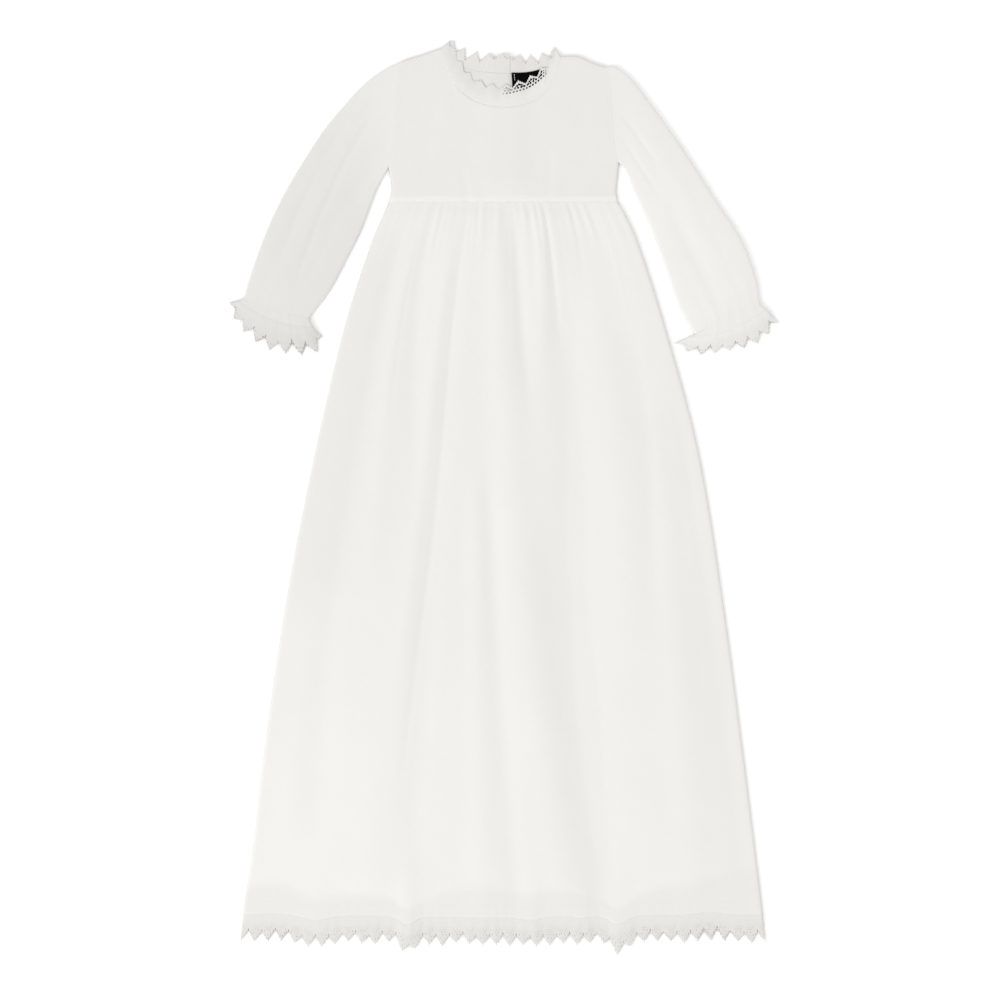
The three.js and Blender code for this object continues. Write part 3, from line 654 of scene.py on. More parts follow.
def lap(x):
    """The upper half climbs on to the lower one, and its own edge turns down again."""
    edge = 1 - 0.6 * smooth_step(UPPER_EDGE_X - 2, UPPER_EDGE_X, x)
    return 0.45 * smooth_step(-25, -10, x) * edge * (x < UPPER_EDGE_X + SEAM)


def over_opening(x, y):
    """How far the buttons and the lap raise the front."""
    raised = 0.9 * (1 - smooth_step(7, 40, np.abs(x - OPENING_X))) * smooth_step(296, 325, y)
    lapped = 0.8 * within(x, -38, -8, 5, 32)
    return raised + lapped * smooth_step(WAIST_Y - 4, WAIST_Y + 26, y)


def bodice_relief(u, v):
    """A low loft that ends at the sides and the shoulders, and a fuller edge at the armholes."""
    from_side = np.minimum(u, 1 - u)
    shoulder = v**4 * (1 - smooth_step(0.2, 0.4, from_side))
    armhole = np.sin(np.pi * np.clip((v - SIDE_SHARE) / (1 - SIDE_SHARE), 0, 1))
    edge = 0.8 * armhole**0.45 * np.maximum(0, 1 - 5 * from_side) * (1 - swell(u, 0.5))
    return 0.9 * swell(u, 0.5) * (1 - shoulder) + edge


def front_bodice_surface(u, v):
    """The plan with its loft and pulls, pressed down along the waist seam and the sides."""
    plan = front_plan(u, v)
    x, y = plan[..., 0], plan[..., 1]
    folds = sum(
        f["rise"] * bell((u - lerp(f["low"], f["high"], v)) / f["wide"])
        * within(v, f["start"], f["start"] + 0.2, f["end"] - 0.3, f["end"]) for f in each_row(pulls))
    slow = 0.18 * sway(1.7 * u + 0.6 * v, 2) * sway(0.8 * u - 1.4 * v)
    z = TOP_OF_FRONT + bodice_relief(u, v) + over_opening(x, y) + swell(u, 0.6) * (folds + slow)
    strip = 0.12 * smooth_step(WAIST_Y + 8, WAIST_Y + 5, y)
    seam = 0.35 * bell((y - WAIST_Y) / 1.8)
    # Below the underarm and at the shoulder the cloth rolls down to the back. At the armhole and
    # the neck it only dips.
    side = 1 - roll(np.minimum(u, 1 - u) * CHEST, 2.2)
    end = 1 - roll((1 - v) * CHEST_HEIGHT + 0.25, 1.2)
    at_neck = within(u, 0.19, 0.23, 0.77, 0.81)
    down = side * lerp(z - FOLD_LINE, 0.05, smooth_step(0.2, 0.3, v))
    down = np.maximum(down, end * lerp(z - FOLD_LINE, 0.03, at_neck))
    return np.stack([x, y, z - down + strip - seam], -1)


def bodice_layers(u, v):
    """0.9 where the seam's turned edge lies behind the cloth, up to 6 mm above the waist."""
    y = front_plan(u, v)[..., 1]
    return 0.9 * smooth_step(WAIST_Y + 8, WAIST_Y + 5, y)


front_rows = np.r_[np.linspace(0, 0.08, 15)[:-1], np.linspace(0.08, 1, 86)]
front_bodice = cloth_piece("front_bodice", front_bodice_surface, closer_at_sides(122), front_rows,
                           BODICE_COTTON, doubled_cloth_and_painted_shade=bodice_layers)
flat_area(front_plan)
print("front bodice made")

# %% The two back halves
upper_end = share_at(back_neck, UPPER_EDGE_X)
lower_start = share_at(back_neck, LOWER_EDGE_X)
left_back_plan = patch(
    straight((WAIST_LEFT, WAIST_Y), (UPPER_EDGE_X, WAIST_Y)),
    chain([left_shoulder, lambda t: back_neck(t * upper_end)], [0.34]), left_edge,
    straight((UPPER_EDGE_X, WAIST_Y), back_neck(upper_end)))
right_back_plan = patch(
    straight((LOWER_EDGE_X, WAIST_Y), (WAIST_RIGHT, WAIST_Y)),
    chain([lambda t: back_neck(lerp(lower_start, 1, t)), right_shoulder], [0.6]),
    straight((LOWER_EDGE_X, WAIST_Y), back_neck(lower_start)), right_edge)


def back_half_surface(plan_of, side, raised):
    """Flat on the surface, lifted by the buttons and the lap, and rolled up at its side seam."""

    def surface(u, v):
        plan = plan_of(u, v)
        x, y = plan[..., 0], plan[..., 1]
        edge = roll((u if side < 0 else 1 - u) * HALF_BACK, 2.2)
        return raised_to(plan, folded(BACK_FACE + button_lift(x, y) + raised(x), edge))

    return surface


left_back = cloth_piece("back_bodice_left", back_half_surface(left_back_plan, -1, lap),
                        closer_at_sides(60), np.linspace(0, 1, 70), BACK_COTTON, thick=0.35)
right_back = cloth_piece("back_bodice_right", back_half_surface(right_back_plan, 1, lambda x: 0 * x),
                         closer_at_sides(60), np.linspace(0, 1, 70), BACK_COTTON, thick=0.35)
left_area, right_area = flat_area(left_back_plan), flat_area(right_back_plan)
print("back halves:", round(left_area, 4), round(right_area, 4))

# %% [markdown]
# ## The bishop sleeves
# A bishop sleeve is cut wide at the bottom and drawn in at the wrist, so that the cloth puffs a
# little above the gathers and ends in a short frill. It is one piece, sewn to a tube and laid flat.

# %% The sleeves' pattern
left_sleeve = {
    "armhole": left_armhole, "outwards": -1,
    "outer": line([(-102.5, 437), (-117.5, 430), (-135.5, 418), (-155.5, 398), (-180.5, 368),
                   (-206.5, 328), (-223.5, 298), (-241.5, 258), (-255.5, 218), (-260.5, 200)]),
    "inner": line([(-116.5, 330.6), (-128.5, 308), (-143.5, 268), (-158.5, 238), (-174.5, 208),
                   (-195.5, 180)]),
    "frill": ((-266.5, 197.5), (-191.5, 171.5)), "wrist_bow": 1.5, "frill_bow": 5.0,
    "tips": line([(-275.3, 195.5), (-272.5, 182), (-265.5, 171), (-255.5, 160.5), (-241, 150.5),
                  (-227.5, 146), (-212.5, 142.8), (-200, 143), (-187, 145.2), (-182, 161)]),
    "folds": table("begin finish start end rise wide",
        (0.85, 0.50, 0.06, 0.82, -1.1, 0.090), (0.68, 0.32, 0.08, 0.85, 0.7, 0.12),
        (0.30, 0.22, 0.30, 0.90, -0.8, 0.080), (0.33, 0.58, 0.04, 0.82, -1.1, 0.032),
        (0.12, 0.30, 0.16, 0.82, -0.6, 0.035), (0.42, 0.35, 0.00, 0.26, -0.55, 0.040),
        (0.24, 0.22, 0.00, 0.22, -0.5, 0.040), (0.72, 0.66, 0.45, 0.93, -0.5, 0.035)),
}
right_sleeve = {
    "armhole": right_armhole, "outwards": 1,
    "outer": line([(101.5, 431), (110, 432), (119.5, 426), (129.5, 416.5), (143.5, 398), (158.5, 378),
                   (186, 338), (211.5, 298), (237.5, 258), (252, 219), (256, 194)]),
    "inner": line([(114.5, 335.6), (122.5, 328), (130, 308), (148, 267), (162.5, 228), (176.5, 188),
                   (191, 163)]),
    "frill": ((263, 188.5), (184, 161)), "wrist_bow": -5.0, "frill_bow": 12.0,
    "tips": line([(274.5, 175), (264.3, 163), (255.5, 155.5), (243, 150.3), (224, 147.4), (210, 144.6),
                  (200, 143), (188, 144.2), (178, 149), (170.5, 155)]),
    "folds": table("begin finish start end rise wide",
        (0.62, 0.55, 0.40, 0.92, -1.0, 0.10), (0.30, 0.35, 0.10, 0.80, 0.5, 0.14),
        (0.50, 0.44, 0.00, 0.30, -0.5, 0.04), (0.74, 0.64, 0.02, 0.38, -0.5, 0.04),
        (0.25, 0.30, 0.52, 0.94, -0.2, 0.05), (0.80, 0.74, 0.55, 0.94, -0.2, 0.05)),
}
WRIST, SLEEVE_WIDTH, SLEEVE_LENGTH = 0.95, 90, 283


def sleeve_plan(spec):
    """Between the outer and inner edge, bent to the armhole at the top and bowed at the wrist."""

    def edge(path, end, s):
        far = lerp(path(1.0), np.array(end, float), ((s - WRIST) / (1 - WRIST))[..., None])
        return np.where((s <= WRIST)[..., None], path(np.minimum(s / WRIST, 1)), far)

    def plan(s, w):
        outer, inner = edge(spec["outer"], spec["frill"][0], s), edge(spec["inner"], spec["frill"][1], s)
        chord = lerp(spec["outer"](0.0), spec["inner"](0.0), w[..., None])
        near = (1 - np.minimum(s / 0.5, 1)) ** 2
        bow = spec["wrist_bow"] * smooth_step(0.8, WRIST, s) + spec["frill_bow"] * smooth_step(WRIST, 1, s)
        seam = spec["armhole"](1 - w) - chord
        down = np.stack([0 * s, bow * np.sin(np.pi * w)], -1)
        return lerp(outer, inner, w[..., None]) + near[..., None] * seam - down

    return plan


def sleeve_top(spec, s, w):
    """The upper layer: a loft that grows down the sleeve, long folds, and gathers at the wrist."""
    folds = 0
    for f in each_row(spec["folds"]):
        share = np.clip((s - f["start"]) / (f["end"] - f["start"]), 0, 1)
        place = lerp(f["begin"], f["finish"], share)
        folds = folds + f["rise"] * np.sin(np.pi * share) ** 0.7 * bell((w - place) / f["wide"])
    loft = 0.8 + 1.7 * smooth_step(0, 0.25, s) + 0.4 * smooth_step(0.5, 0.85, s)
    drift = 0.5 * sway(1.7 * w, 1) + 0.2 * sway(4.1 * w)
    wide = 0.1 * wave(6 * w) * smooth_step(0.72, WRIST, s)
    fine = 0.1 * wave(13 * w + drift) * smooth_step(0.80, WRIST, s) * (0.7 + 0.3 * np.sin(9 * w + 1))
    drawn = 0.4 * bell((s - WRIST) / 0.05) + 0.05 * bell((s - WRIST) / 0.010)
    height = loft + folds + wide + fine - drawn
    return TOP_OF_FRONT + swell(w, 0.4) * np.clip(height, 0, 4.2)


def sleeve_surface(spec):
    """A flattened tube: the upper layer out and the lower one back, with a round fold between."""
    plan_of = sleeve_plan(spec)

    def surface(turn, s):
        w = np.where(turn < 1, turn, 2 - turn)
        plan = plan_of(s, w)
        sides = plan_of(s, 0 * w) - plan_of(s, 0 * w + 1)
        edge = roll(np.minimum(w, 1 - w) * np.linalg.norm(sides, axis=-1), 2.0)
        at_armhole = bell(s / 0.008)
        # The first row goes under the edge of the bodice.
        under = 1 - smooth_step(0, 0.0012, s)
        plan = plan - spec["outwards"] * under[..., None] * np.array([0.9, 0.0])
        upper = folded(sleeve_top(spec, s, w) - 0.05 * at_armhole - 0.3 * under, edge)
        lower = folded(0.04 + 0.5 * at_armhole, edge)
        return raised_to(plan, np.where(turn < 1, upper, lower))

    return surface


def sleeve_painted_shade(side, s):
    """Painted shade and light: the sleeve's painted colour goes towards the bodice's at the armhole, and
    on the right towards the lace's at the wrist.
    """
    at_wrist = 0.9 * smooth_step(0.84, 1, s) if side == "right" else 0
    return 1 - smooth_step(0, 0.4, s) + at_wrist


cosine = 0.5 - 0.5 * np.cos(np.pi * np.arange(72) / 71)
turns = np.r_[cosine[:-1], 1 + cosine[:-1:2]]
sleeve_rows = np.r_[0, 0.0012, np.linspace(0.004, 0.03, 6)[:-1], np.linspace(0.03, 0.84, 76)[:-1],
                    np.linspace(0.84, 1, 40)]
for side, spec in (("left", left_sleeve), ("right", right_sleeve)):
    plan_of = sleeve_plan(spec)
    area = 2 * flat_area(lambda u, v: plan_of(v, u))
    piece = cloth_piece(f"sleeve_{side}", sleeve_surface(spec), turns, sleeve_rows,
                        SLEEVE_COTTON[side], closed=True,
                        cut=lambda turn, s: np.stack([turn * SLEEVE_WIDTH, s * SLEEVE_LENGTH], -1),
                        doubled_cloth_and_painted_shade=lambda turn, s: sleeve_painted_shade(side, s))
    print("sleeve", side, "flat area in square metres:", round(area, 4))

# %% [markdown]
# ## The pointed lace edging
# The lace is a narrow cotton edging with a straight side, the footing, that is sewn to the cloth,
# and a pointed side with tiny round beads of thread. Between them is a net of small round holes. A
# height field over the flat strip says where there is thread: it is above zero on the thread and
# below zero in a hole. The edge of the thread is then traced where the field passes zero, so the
# holes are real.

# %% Tracing the thread
def trace(field):
    """Polygons over the part of a grid where the field is above zero, and their points, as places
    in the grid. A corner of a cell is kept if it is inside, and a side is cut where the field,
    taken as straight between two corners, is zero."""
    rows, columns = field.shape
    inside = field > 0
    i, j = np.indices(field.shape)

    def share(a, b):
        apart = np.where(a == b, 1, a - b)
        return np.clip(np.where((a > 0) != (b > 0), a / apart, 0.5), 0.04, 0.96)

    across = share(field[:, :-1], field[:, 1:])
    down = share(field[:-1], field[1:])
    points = np.concatenate([
        np.stack([j, i], -1).reshape(-1, 2).astype(float),
        np.stack([j[:, :-1] + across, i[:, :-1]], -1).reshape(-1, 2),
        np.stack([j[:-1], i[:-1] + down], -1).reshape(-1, 2)])
    corner = np.arange(rows * columns).reshape(rows, columns)
    h = corner.size + np.arange(rows * (columns - 1)).reshape(rows, columns - 1)
    v = corner.size + h.size + np.arange((rows - 1) * columns).reshape(rows - 1, columns)
    ring = np.stack([corner[:-1, :-1], h[:-1], corner[:-1, 1:], v[:, 1:],
                     corner[1:, 1:], h[1:], corner[1:, :-1], v[:, :-1]], -1).reshape(-1, 8)
    kind = (inside[:-1, :-1] + 2 * inside[:-1, 1:] + 4 * inside[1:, 1:] + 8 * inside[1:, :-1]).ravel()
    groups = []
    for case in range(1, 16):
        bits = [case >> k & 1 for k in range(4)]
        keep = [2 * k for k in range(4) if bits[k]]
        keep += [2 * k + 1 for k in range(4) if bits[k] != bits[(k + 1) % 4]]
        groups.append(ring[kind == case][:, sorted(keep)])
    used = np.zeros(len(points), bool)
    for group in groups:
        used[group.ravel()] = True
    new = np.cumsum(used) - 1
    return points[used], [new[group] for group in groups if len(group)]


def row_of_holes(x, y, pitch, radius):
    """Distance from the nearest place of a row, less the radius of a hole."""
    return np.hypot(x - pitch * np.round(x / pitch), y) - radius


def round_holes(x, y, pitch, radius):
    """The same for a net of triangles, which is two sets of rows, half a pitch apart."""
    tall = pitch * np.sqrt(3)
    sets = ((x, y), (x - pitch / 2, y - tall / 2))
    return np.minimum(*(row_of_holes(a, b - tall * np.round(b / tall), pitch, radius) for a, b in sets))


# Where things lie in the lace: from the seam, or from the outline inwards.
TUCKED, FOOTING_AT, FOOTING_PITCH, NET_FROM = 1.2, 2.3, 2.6, 4.2
CORD, BEADS_AT, BEAD_RADIUS, EYELETS_AT, BORDER = 1.3, 1.0, 1.12, 3.0, 4.6


def lace_field(pattern, depth, pitch, reach, net_pitch):
    """Above zero on the thread. The outline has pointed teeth with a row of round beads of thread.
    Inside it are a row of holes in the footing, a net, and a row of eyelets along the teeth."""
    point, hole, tooth, border = pattern
    x = point * pitch
    from_tip = 2 * np.abs(point - np.round(point))
    tall = reach * POINT_SHARE * tooth
    side = np.hypot(pitch / 2, tall)
    inside = (reach - tall * from_tip - depth) * pitch / 2 / side
    bead_pitch = side / 3.5
    from_bead = from_tip * side - bead_pitch * np.round(from_tip * side / bead_pitch)
    beads = BEAD_RADIUS - np.hypot(inside - BEADS_AT, from_bead)
    edge = np.maximum(inside - CORD, beads)
    net_zone = np.minimum(inside - border, depth - NET_FROM)
    net = np.maximum(round_holes(x, depth, net_pitch, hole), -net_zone)
    footing = row_of_holes(x, depth - FOOTING_AT, FOOTING_PITCH, 0.2)
    # The row of eyelets stops short of the valleys between the teeth.
    eyelet = np.hypot(inside - EYELETS_AT, from_bead) - 0.15 - 0.6 * hole
    return np.minimum.reduce([edge, net, footing, np.maximum(eyelet, (from_tip - 0.76) * pitch)])


def hem_pattern(point, depth):
    """The place in the row of teeth, the radius of the holes, which grows from 0.28 mm at the
    footing to 0.5 mm, the height of the nearly even teeth, and the border round the net."""
    hole = lerp(0.28, 0.5, smooth_step(6, 18, depth))
    return point, hole, 1 + 0.1 * np.sin(2.3 * point + 1) + 0.07 * np.sin(1.3 * point), BORDER


def cuff_pattern(point, depth):
    """The same with smaller holes."""
    place, hole, tooth, border = hem_pattern(point, depth)
    return place, 0.65 * hole, tooth, border


def tuck(depth):
    """The lace's straight side goes 1.2 mm under the edge of the cloth."""
    return -0.15 * (1 - smooth_step(-0.9, 0.3, depth))


def paler_at_seam(point, depth):
    """The tone of the cloth at the seam, and towards the points the lace's own one, which its share paints
    deeper as shade.
    """
    return 1 - smooth_step(0, 15, depth)


def lace_piece(node, place, points, pitch, reach, cell, material, tube=False, pattern=hem_pattern,
               net_pitch=2.7, doubled_cloth_and_painted_shade=None):
    """A strip of lace with that many points: place(point, depth) puts the flat strip where it lies."""
    columns, rows = int(points * pitch / cell) + 1, int((reach + 2) / cell) + 1
    point, depth = np.meshgrid(np.linspace(0, points, columns), np.arange(rows) * cell - TUCKED)
    field = lace_field(pattern(point, depth), depth, pitch, reach, net_pitch)
    field[depth < 0.9] = np.maximum(field, 0.3)[depth < 0.9]
    grid, groups = trace(field)
    at_point, at_depth = grid[:, 0] * points / (columns - 1), grid[:, 1] * cell - TUCKED
    placed = place(at_point, at_depth)
    turned = outward(placed, groups[-1], tube) is not groups[-1]
    faces = [group[:, ::-1] for group in groups] if turned else groups
    cut = np.stack([at_point * pitch, at_depth], -1)
    doubled_and_painted = None if doubled_cloth_and_painted_shade is None else doubled_cloth_and_painted_shade(at_point, at_depth)
    piece = make_piece(f"{node}_edging", placed, faces, cut, material, 0.3, doubled_and_painted)
    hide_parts(node)
    return piece


print("lace helpers ready")

# %% The hem's lace
def hem_plan(dips):
    """From the skirt's lower edge to the line of the tips, by the depth of the strip."""

    def plan(u, depth):
        seam = skirt_plan(u, np.ones_like(u), dips)
        drop = SKIRT_LENGTH + LACE_DEPTH
        x = lerp(-side_x("left", drop), side_x("right", drop), u)
        tip = np.stack([x, WAIST_Y - SEAM - drop - dips * hem_value("deep", x)], -1)
        uneven = 1 + dips * 0.045 * (sway(8.3 * u, 1) + sway(14.9 * u, 4))
        share = depth / LACE_DEPTH * lerp(1, uneven, smooth_step(5, 24, depth))
        return lerp(seam, tip, share[..., None])

    return plan


HEM_WIDTH, CUFF_WIDTH = 523, 85


def hem_roll(u):
    """The rounding of the strip's two ends."""
    return roll(np.minimum(u, 1 - u) * HEM_WIDTH, 2.0)


def hem_front_place(point, depth):
    """On the skirt's lower edge, with its folds, and a small ripple at each point."""
    u = np.clip(point / HEM_POINTS, 0, 1)
    plan = hem_plan(1)(u, depth)
    share = np.clip(depth / LACE_DEPTH, 0, 1)
    ripple = 0.35 * share * (wave(HEM_POINTS * u) + sway(9.3 * u, 1))
    pucker = 0.06 * wave(61 * u + 0.6 * sway(7 * u)) * smooth_step(0, 6, depth) * (1 - share)
    relief = skirt_relief(u, np.ones_like(u))
    seam = TOP_OF_FRONT + relief
    tips = 0.95 + 0.28 * relief
    z = lerp(seam, tips, smooth_step(0.05, 0.9, share)) + swell(u, 0.5) * (ripple + pucker)
    return raised_to(plan, folded(z + tuck(depth), hem_roll(u)))


def hem_back_place(point, depth):
    """Flat on the surface, and rolled up at both sides."""
    u = np.clip(point / HEM_POINTS, 0, 1)
    return raised_to(hem_plan(0)(u, depth), folded(0.48, hem_roll(u)))


hem_front = lace_piece("hem_lace_front", hem_front_place, HEM_POINTS, 13.4, LACE_DEPTH, 0.72,
                       HEM_LACE, doubled_cloth_and_painted_shade=paler_at_seam)
hem_back = lace_piece("hem_lace_back", hem_back_place, HEM_POINTS, 13.4, LACE_DEPTH, 1.0, HEM_LACE)
print("hem lace polygons:", len(hem_front.data.polygons), len(hem_back.data.polygons))

# %% The cuffs' lace
CUFF_POINTS = 8


def cuff_place(spec):
    """From the frill's end to the line of the tips, over the upper layer and back below it."""
    cloth = sleeve_plan(spec)
    tips = spec["tips"]

    def seam(w):
        return cloth(np.ones_like(w), w)

    def place(point, depth):
        turn = point / CUFF_POINTS
        upper = turn < 1
        w = np.clip(np.where(upper, turn, 2 - turn), 0, 1)
        share = depth / LACE_DEPTH
        root, tip = beside(seam, spec["outwards"] * 0.2)(w), tips(w)
        plan = lerp(root, tip, share[..., None])
        gather = 0.15 * sway(4.4 * w, 2) * share
        seam_z = sleeve_top(spec, np.ones_like(w), w)
        tip_z = 0.9 + 0.3 * swell(w, 0.4)
        ripple = swell(w, 0.4) * (0.2 * share * wave(CUFF_POINTS * w) + gather)
        top = lerp(seam_z, tip_z, smooth_step(0.05, 0.9, share)) + ripple + tuck(depth)
        edge = roll(np.minimum(w, 1 - w) * CUFF_WIDTH, 2.0)
        return raised_to(plan, folded(np.where(upper, top, 0.04), edge))

    return place


for side, spec in (("left", left_sleeve), ("right", right_sleeve)):
    cuff = lace_piece(f"cuff_lace_{side}", cuff_place(spec), 2 * CUFF_POINTS, 11.5, LACE_DEPTH, 0.62,
                      CUFF_LACE[side], True, cuff_pattern, doubled_cloth_and_painted_shade=paler_at_seam)
    print("cuff lace", side, "polygons:", len(cuff.data.polygons))

# %% The neck's lace
tip_left, tip_right = (-53, 459.3), (50, 451.5)
front_tips = line([tip_left, (-45.5, 443), (-35.5, 427), (-19.5, 416.5), (-0.5, 414), (10.5, 417),
                   (23.5, 422), (35.5, 430), (44.5, 440), tip_right])
back_tips = line([tip_left, (-36.5, 450.5), (-16, 446.5), (11, 444.5), (34, 446), tip_right])
back_seam, front_seam = beside(back_neck, 0.1), beside(front_neck, 0.1)
NECK_PARTS = ((5, share_at(back_seam, UPPER_EDGE_X), 0.0), (11, 0.0, 1.0),
              (5, 1.0, share_at(back_seam, LOWER_EDGE_X)))
NECK_POINTS, NECK_DEPTH = sum(part[0] for part in NECK_PARTS), 24.5
BACK_POINTS, FRONT_POINTS = NECK_PARTS[0][0], NECK_PARTS[1][0]


def on_front(point):
    """The share of the way along the front of the neck, from one neck point to the other."""
    return np.clip((point - BACK_POINTS) / FRONT_POINTS, 0, 1)


def over_label(point):
    """Towards 1 on the front's points that lie over the label."""
    return within(on_front(point), 0.50, 0.56, 0.80, 0.90)


def neck_painted_light(point, depth):
    """Painted light: paler towards the seam on the front, near the bodice's tone, while the lace further
    out keeps its deeper painted shade.
    """
    return swell(on_front(point), 0.25) * (1 - smooth_step(6, 20, depth))


# How tall the teeth are, at some of the points: some stand up and others are folded over.
neck_teeth = table("point tall",
    (0, 0.8), (1, 0.8), (2, 1.3), (3, 1.6), (4, 1.5), (5, 0.8), (6.5, 0.6), (14, 0.6), (16, 0.8),
    (17, 1.5), (18, 1.6), (19, 1.2), (20, 0.8), (21, 0.6))


def neck_pattern(point, depth):
    """The teeth of the back start a part of a tooth from the opening. Over the label the holes are
    wide and the net goes nearly up to the edge, and elsewhere the holes are small."""
    place = point + np.interp(point, [0, 5, 6.5, 15.5, 17, 21], [0.3, 0.3, 0, 0, -0.25, -0.35])
    hole = lerp(0.16, lerp(0.12, 1.12, smooth_step(12, 14, depth)), over_label(point))
    tooth = np.interp(point, neck_teeth["point"], neck_teeth["tall"])
    return place, hole, tooth, lerp(BORDER, 1.7, over_label(point))


def neck_place(point, depth):
    """From the back opening to the left, round the front, and on to its own start at the back."""
    starts = np.cumsum([0] + [part[0] for part in NECK_PARTS])
    placed, out = 0, np.clip(depth / NECK_DEPTH, 0, 1)
    for k, (count, begin, finish) in enumerate(NECK_PARTS):
        t = np.clip((point - starts[k]) / count, 0, 1)
        share = lerp(begin, finish, t)
        front = k == 1
        seam, tips, length = (front_seam, front_tips, 170) if front else (back_seam, back_tips, 135)
        root, tip = seam(share), tips(share)
        plan = lerp(root, tip, (depth / NECK_DEPTH)[..., None])
        x, y = root[..., 0], root[..., 1]
        edge = roll(np.minimum(share, 1 - share) * length, 2.2)
        if front:
            bump = np.sin(np.pi * t) ** 0.6
            crimp = out * (0.3 * bump * sway(5.3 * t, 1) + 0.25 * wave(FRONT_POINTS * t))
            over_cloth = TOP_OF_FRONT + over_opening(x, y) + 0.9 * bump
            px, py = plan[..., 0], plan[..., 1]
            over_tape = 0.9 * smooth_step(5, 8, px) * (px < 41)
            on_back = ON_BACK + button_lift(px, py) + lap(px) + over_tape
            z = lerp(over_cloth, on_back, smooth_step(0, 0.95, out)) + crimp + tuck(depth)
        else:
            raised = lap(x) if k == 0 else 0
            z = 0.6 + button_lift(x, y) + raised + 0.5 * tuck(depth)
        inside = (point > starts[k]) | (k == 0)
        placed = np.where(inside[..., None], raised_to(plan, folded(z, edge)), placed)
    return placed


neck = lace_piece("neck_lace", neck_place, NECK_POINTS, 13.6, NECK_DEPTH, 0.6, NECK_LACE,
                  pattern=neck_pattern, net_pitch=3.3, doubled_cloth_and_painted_shade=neck_painted_light)
print("neck lace polygons:", len(neck.data.polygons))

# %% [markdown]
# ## The label, the buttons and the stitches
# A short black woven tape is sewn inside the back neck. Both its ends are turned under, which
# leaves a thin raised line. Three small flat buttons lie between the back and the surface. The
# sewing is a line of short stitches, each a thin spindle of thread whose ends go into the cloth.

# %% The neck label
LABEL_LENGTH = 15.8
label_ends = [share_at(back_neck, 7.0), share_at(back_neck, 38.5)]


def label_surface(u, v):
    """Below the back neck, flat, with a small step near each end where the tape is turned under."""
    top = back_neck(lerp(label_ends[0], label_ends[1], u))
    x = top[..., 0] + lerp(1, 0, v)
    y = top[..., 1] - lerp(LABEL_LENGTH, SEAM, v)
    turned = 0.35 * (smooth_step(0.10, 0.07, u) + smooth_step(0.90, 0.93, u))
    bowed = 0.35 * np.sin(np.pi * v) * swell(u, 0.5)
    return np.stack([x, y, ON_BACK + button_lift(x, y) + turned + bowed], -1)


label = cloth_piece("label", label_surface, np.linspace(0, 1, 48), np.linspace(0, 1, 28),
                    BLACK_TAPE, name="neck_label_tape", thick=0.4)
print("label made")

# %% The buttons
PEARL = finished("pearly button", Base_Color=(0.85, 0.83, 0.79, 1), Roughness=0.28, Coat_Weight=0.3)[0]
profile = np.array([(0.02, 0.30), (3.0, 0.30), (3.35, 0.26), (3.6, 0.14), (3.85, 0.06), (4.5, 0.05),
                    (4.8, 0.16), (4.98, 0.45), (4.9, 0.9), (4.6, 1.18), (4.2, 1.24), (0.02, 1.24)])


def button_piece(name, node, y):
    """The profile turned about an upright line: radius times cosine and sine of the turn."""
    turn = np.linspace(0, 2 * np.pi, 49)[:-1]
    radius, z = profile[:, :1], profile[:, 1:]
    points = np.stack([OPENING_X + radius * np.cos(turn), y + radius * np.sin(turn), z + 0 * turn], -1)
    points = points.reshape(-1, 3)
    faces = outward(points, grid_quads(len(profile), len(turn), True), True)
    piece = make_piece(name, points, [faces], points[:, :2], PEARL)
    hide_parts(node)


for name, y in (("top", 413), ("middle", 373), ("bottom", 333)):
    button_piece(f"button_{name}_turned", f"button_{name}", y)
print("buttons: 3")

# %% Rows of stitches
def stitches(name, paths, pitch=2.7, long=1.9, thick=0.08, material=THREAD):
    """Each stitch has two tips on the cloth and two rings of four points between them, the middle
    of the stitch standing a little above the cloth."""
    all_points, tris, quads, count = [], [], [], 0
    rise, ring = np.array([0, 0, 1.0]), np.arange(4)
    after = (ring + 1) % 4
    for path in paths:
        along = np.r_[0, np.cumsum(np.linalg.norm(np.diff(path, axis=0), axis=1))]
        n = max(1, int(along[-1] // pitch))
        middle = (np.arange(n) + 0.5) * along[-1] / n

        def at(shift):
            return np.stack([np.interp(middle + shift, along, path[:, k]) for k in range(3)], -1)

        tip, far = at(-long / 2), at(long / 2)
        run = (far - tip) / np.linalg.norm(far - tip, axis=1, keepdims=True)
        side = np.cross(rise, run)
        side = side / np.linalg.norm(side, axis=1, keepdims=True)
        up = rise + 0 * side
        spread = np.stack([side, up, -side, -up], 1) * thick
        rings = [at(shift)[:, None] + spread + rise * 0.04 for shift in (-long * 0.28, long * 0.28)]
        block = np.concatenate([tip[:, None], rings[0], rings[1], far[:, None]], 1)
        base = count + 10 * np.arange(n)[:, None]
        one = np.concatenate([np.stack([0 * ring, 1 + after, 1 + ring], 1),
                              np.stack([0 * ring + 9, 5 + ring, 5 + after], 1)])
        tris.append((base[:, None] + one[None]).reshape(-1, 3))
        body = np.stack([1 + ring, 1 + after, 5 + after, 5 + ring], 1)
        quads.append((base[:, None] + body[None]).reshape(-1, 4))
        all_points.append(block.reshape(-1, 3))
        count += 10 * n
    points = np.concatenate(all_points)
    faces = [np.concatenate(tris), np.concatenate(quads)]
    return make_piece(name, points, faces, points[:, :2], material)


def across(surface, start, finish, v, n=400):
    """A line on a surface, from one share of its width to another at one share of its length."""
    u = np.linspace(start, finish, n)
    return surface(u, np.full(n, v))


def down(surface, u, start, finish, n=300):
    """A line on a surface, from one share of its length to another at one share of its width."""
    v = np.linspace(start, finish, n)
    return surface(np.full(n, u), v)


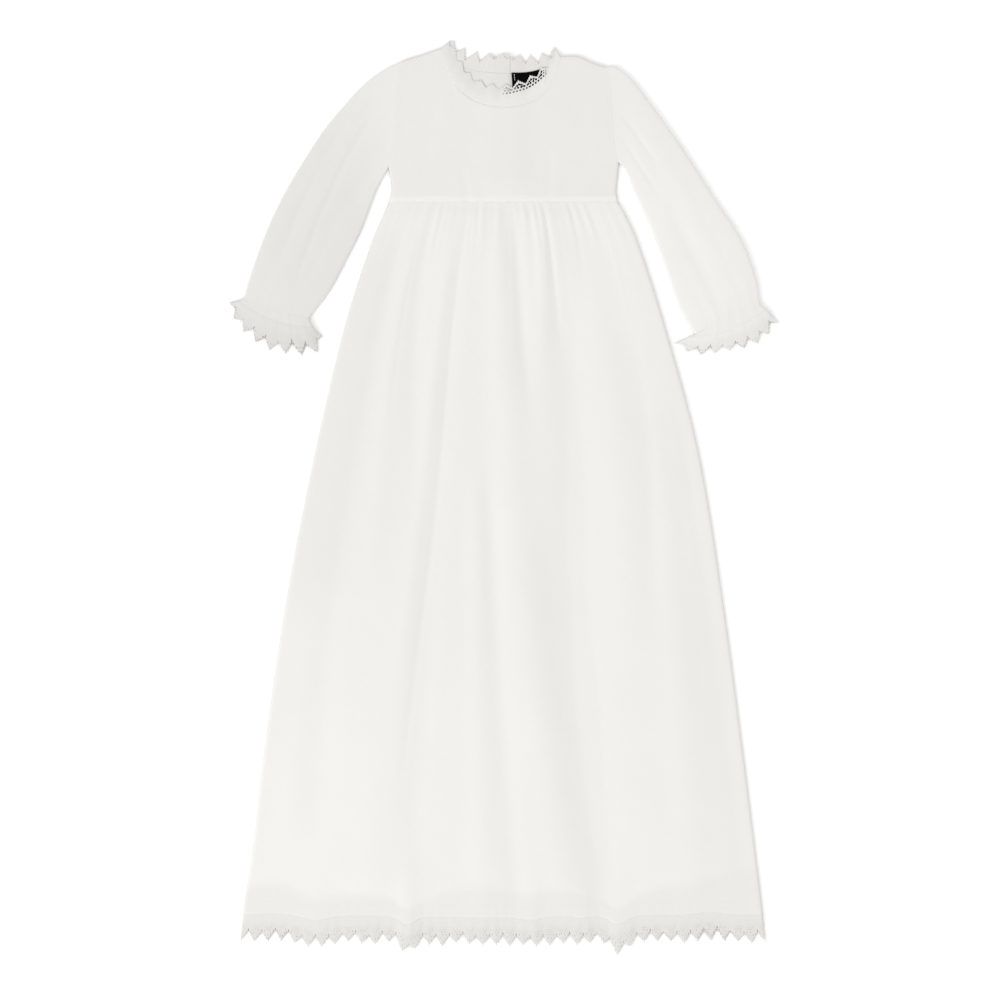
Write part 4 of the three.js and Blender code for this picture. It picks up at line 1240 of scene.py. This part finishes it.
hem_v = 1 - 12.2 / SKIRT_LENGTH
rows_made = [
    stitches("waist_stitches", [across(front_bodice_surface, 0.012, 0.988, v) for v in (0.011, 0.04)]),
    stitches("hem_stitches", [across(front_skirt_surface, 0.012, 0.988, hem_v)], pitch=3.0),
    stitches("neck_stitches", [across(front_bodice_surface, 0.215, 0.785, 0.975)], thick=0.04),
    stitches("armhole_stitches", [down(front_bodice_surface, u, SIDE_SHARE + 0.02, 0.985)
                                  for u in (0.022, 0.978)], thick=0.04),
    stitches("wrist_stitches", [across(sleeve_surface(spec), 0.03, 0.97, at, 300)
                                for spec in (left_sleeve, right_sleeve) for at in (0.942, 0.958)],
             pitch=2.2, long=1.6, thick=0.04),
    stitches("label_stitches", [down(label_surface, 0.965, 0.04, 0.96, 60)], pitch=2.2, long=1.6,
             material=BLACK_TAPE),
    stitches("label_tack", [down(label_surface, 0.085, 0.47, 0.93, 60)], pitch=1.9, long=1.85, thick=0.3)]
print("stitched faces:", sum(len(row.data.polygons) for row in rows_made))

# %% [markdown]
# ## The table top, the light and the camera
# A gown like this is shown laid flat and looked at from straight above. The surface is plain and
# almost white. A wide soft light from the left and an even white room let the folds show as faint
# tones only.

# %% The surface
top = bpy.data.meshes.new("table_top")
corners = ((-4, -4), (4, -4), (4, 4), (-4, 4))
top.from_pydata([(x, y, -0.0004) for x, y in corners], [], [(0, 1, 2, 3)])
surface = add_object("table_top", top)
top.materials.append(finished("chalk white", Base_Color=(0.985, 0.985, 0.985, 1), Roughness=1.0,
                              Specular_IOR_Level=0.0)[0])
print("table top: 8 m wide")

# %% The lights
world = bpy.data.worlds.new("soft room")
world.use_nodes = True
air = world.node_tree.nodes["Background"].inputs
air["Color"].default_value, air["Strength"].default_value = (1.0, 1.0, 1.0, 1), 0.935
bpy.context.scene.world = world

# One wide square of light from the left and below, which faces the gown.
lamp = bpy.data.lights.new("window", "AREA")
lamp.size, lamp.energy = 3.0, 136
window = add_object("window", lamp)
window.location = (-4.3, -3.4, 3.4)
window.rotation_euler = (-window.location).to_track_quat("-Z", "Y").to_euler()
print("lights set")

# %% The camera
camera_data = bpy.data.cameras.new("camera")
camera_data.lens, camera_data.sensor_width = 108.0, 36.0
camera = add_object("camera", camera_data)
camera.location = (-0.0041, -0.0036, 3.004)
bpy.context.scene.camera = camera
bpy.context.scene.view_settings.view_transform = "Standard"
print("camera 3 m above the gown")
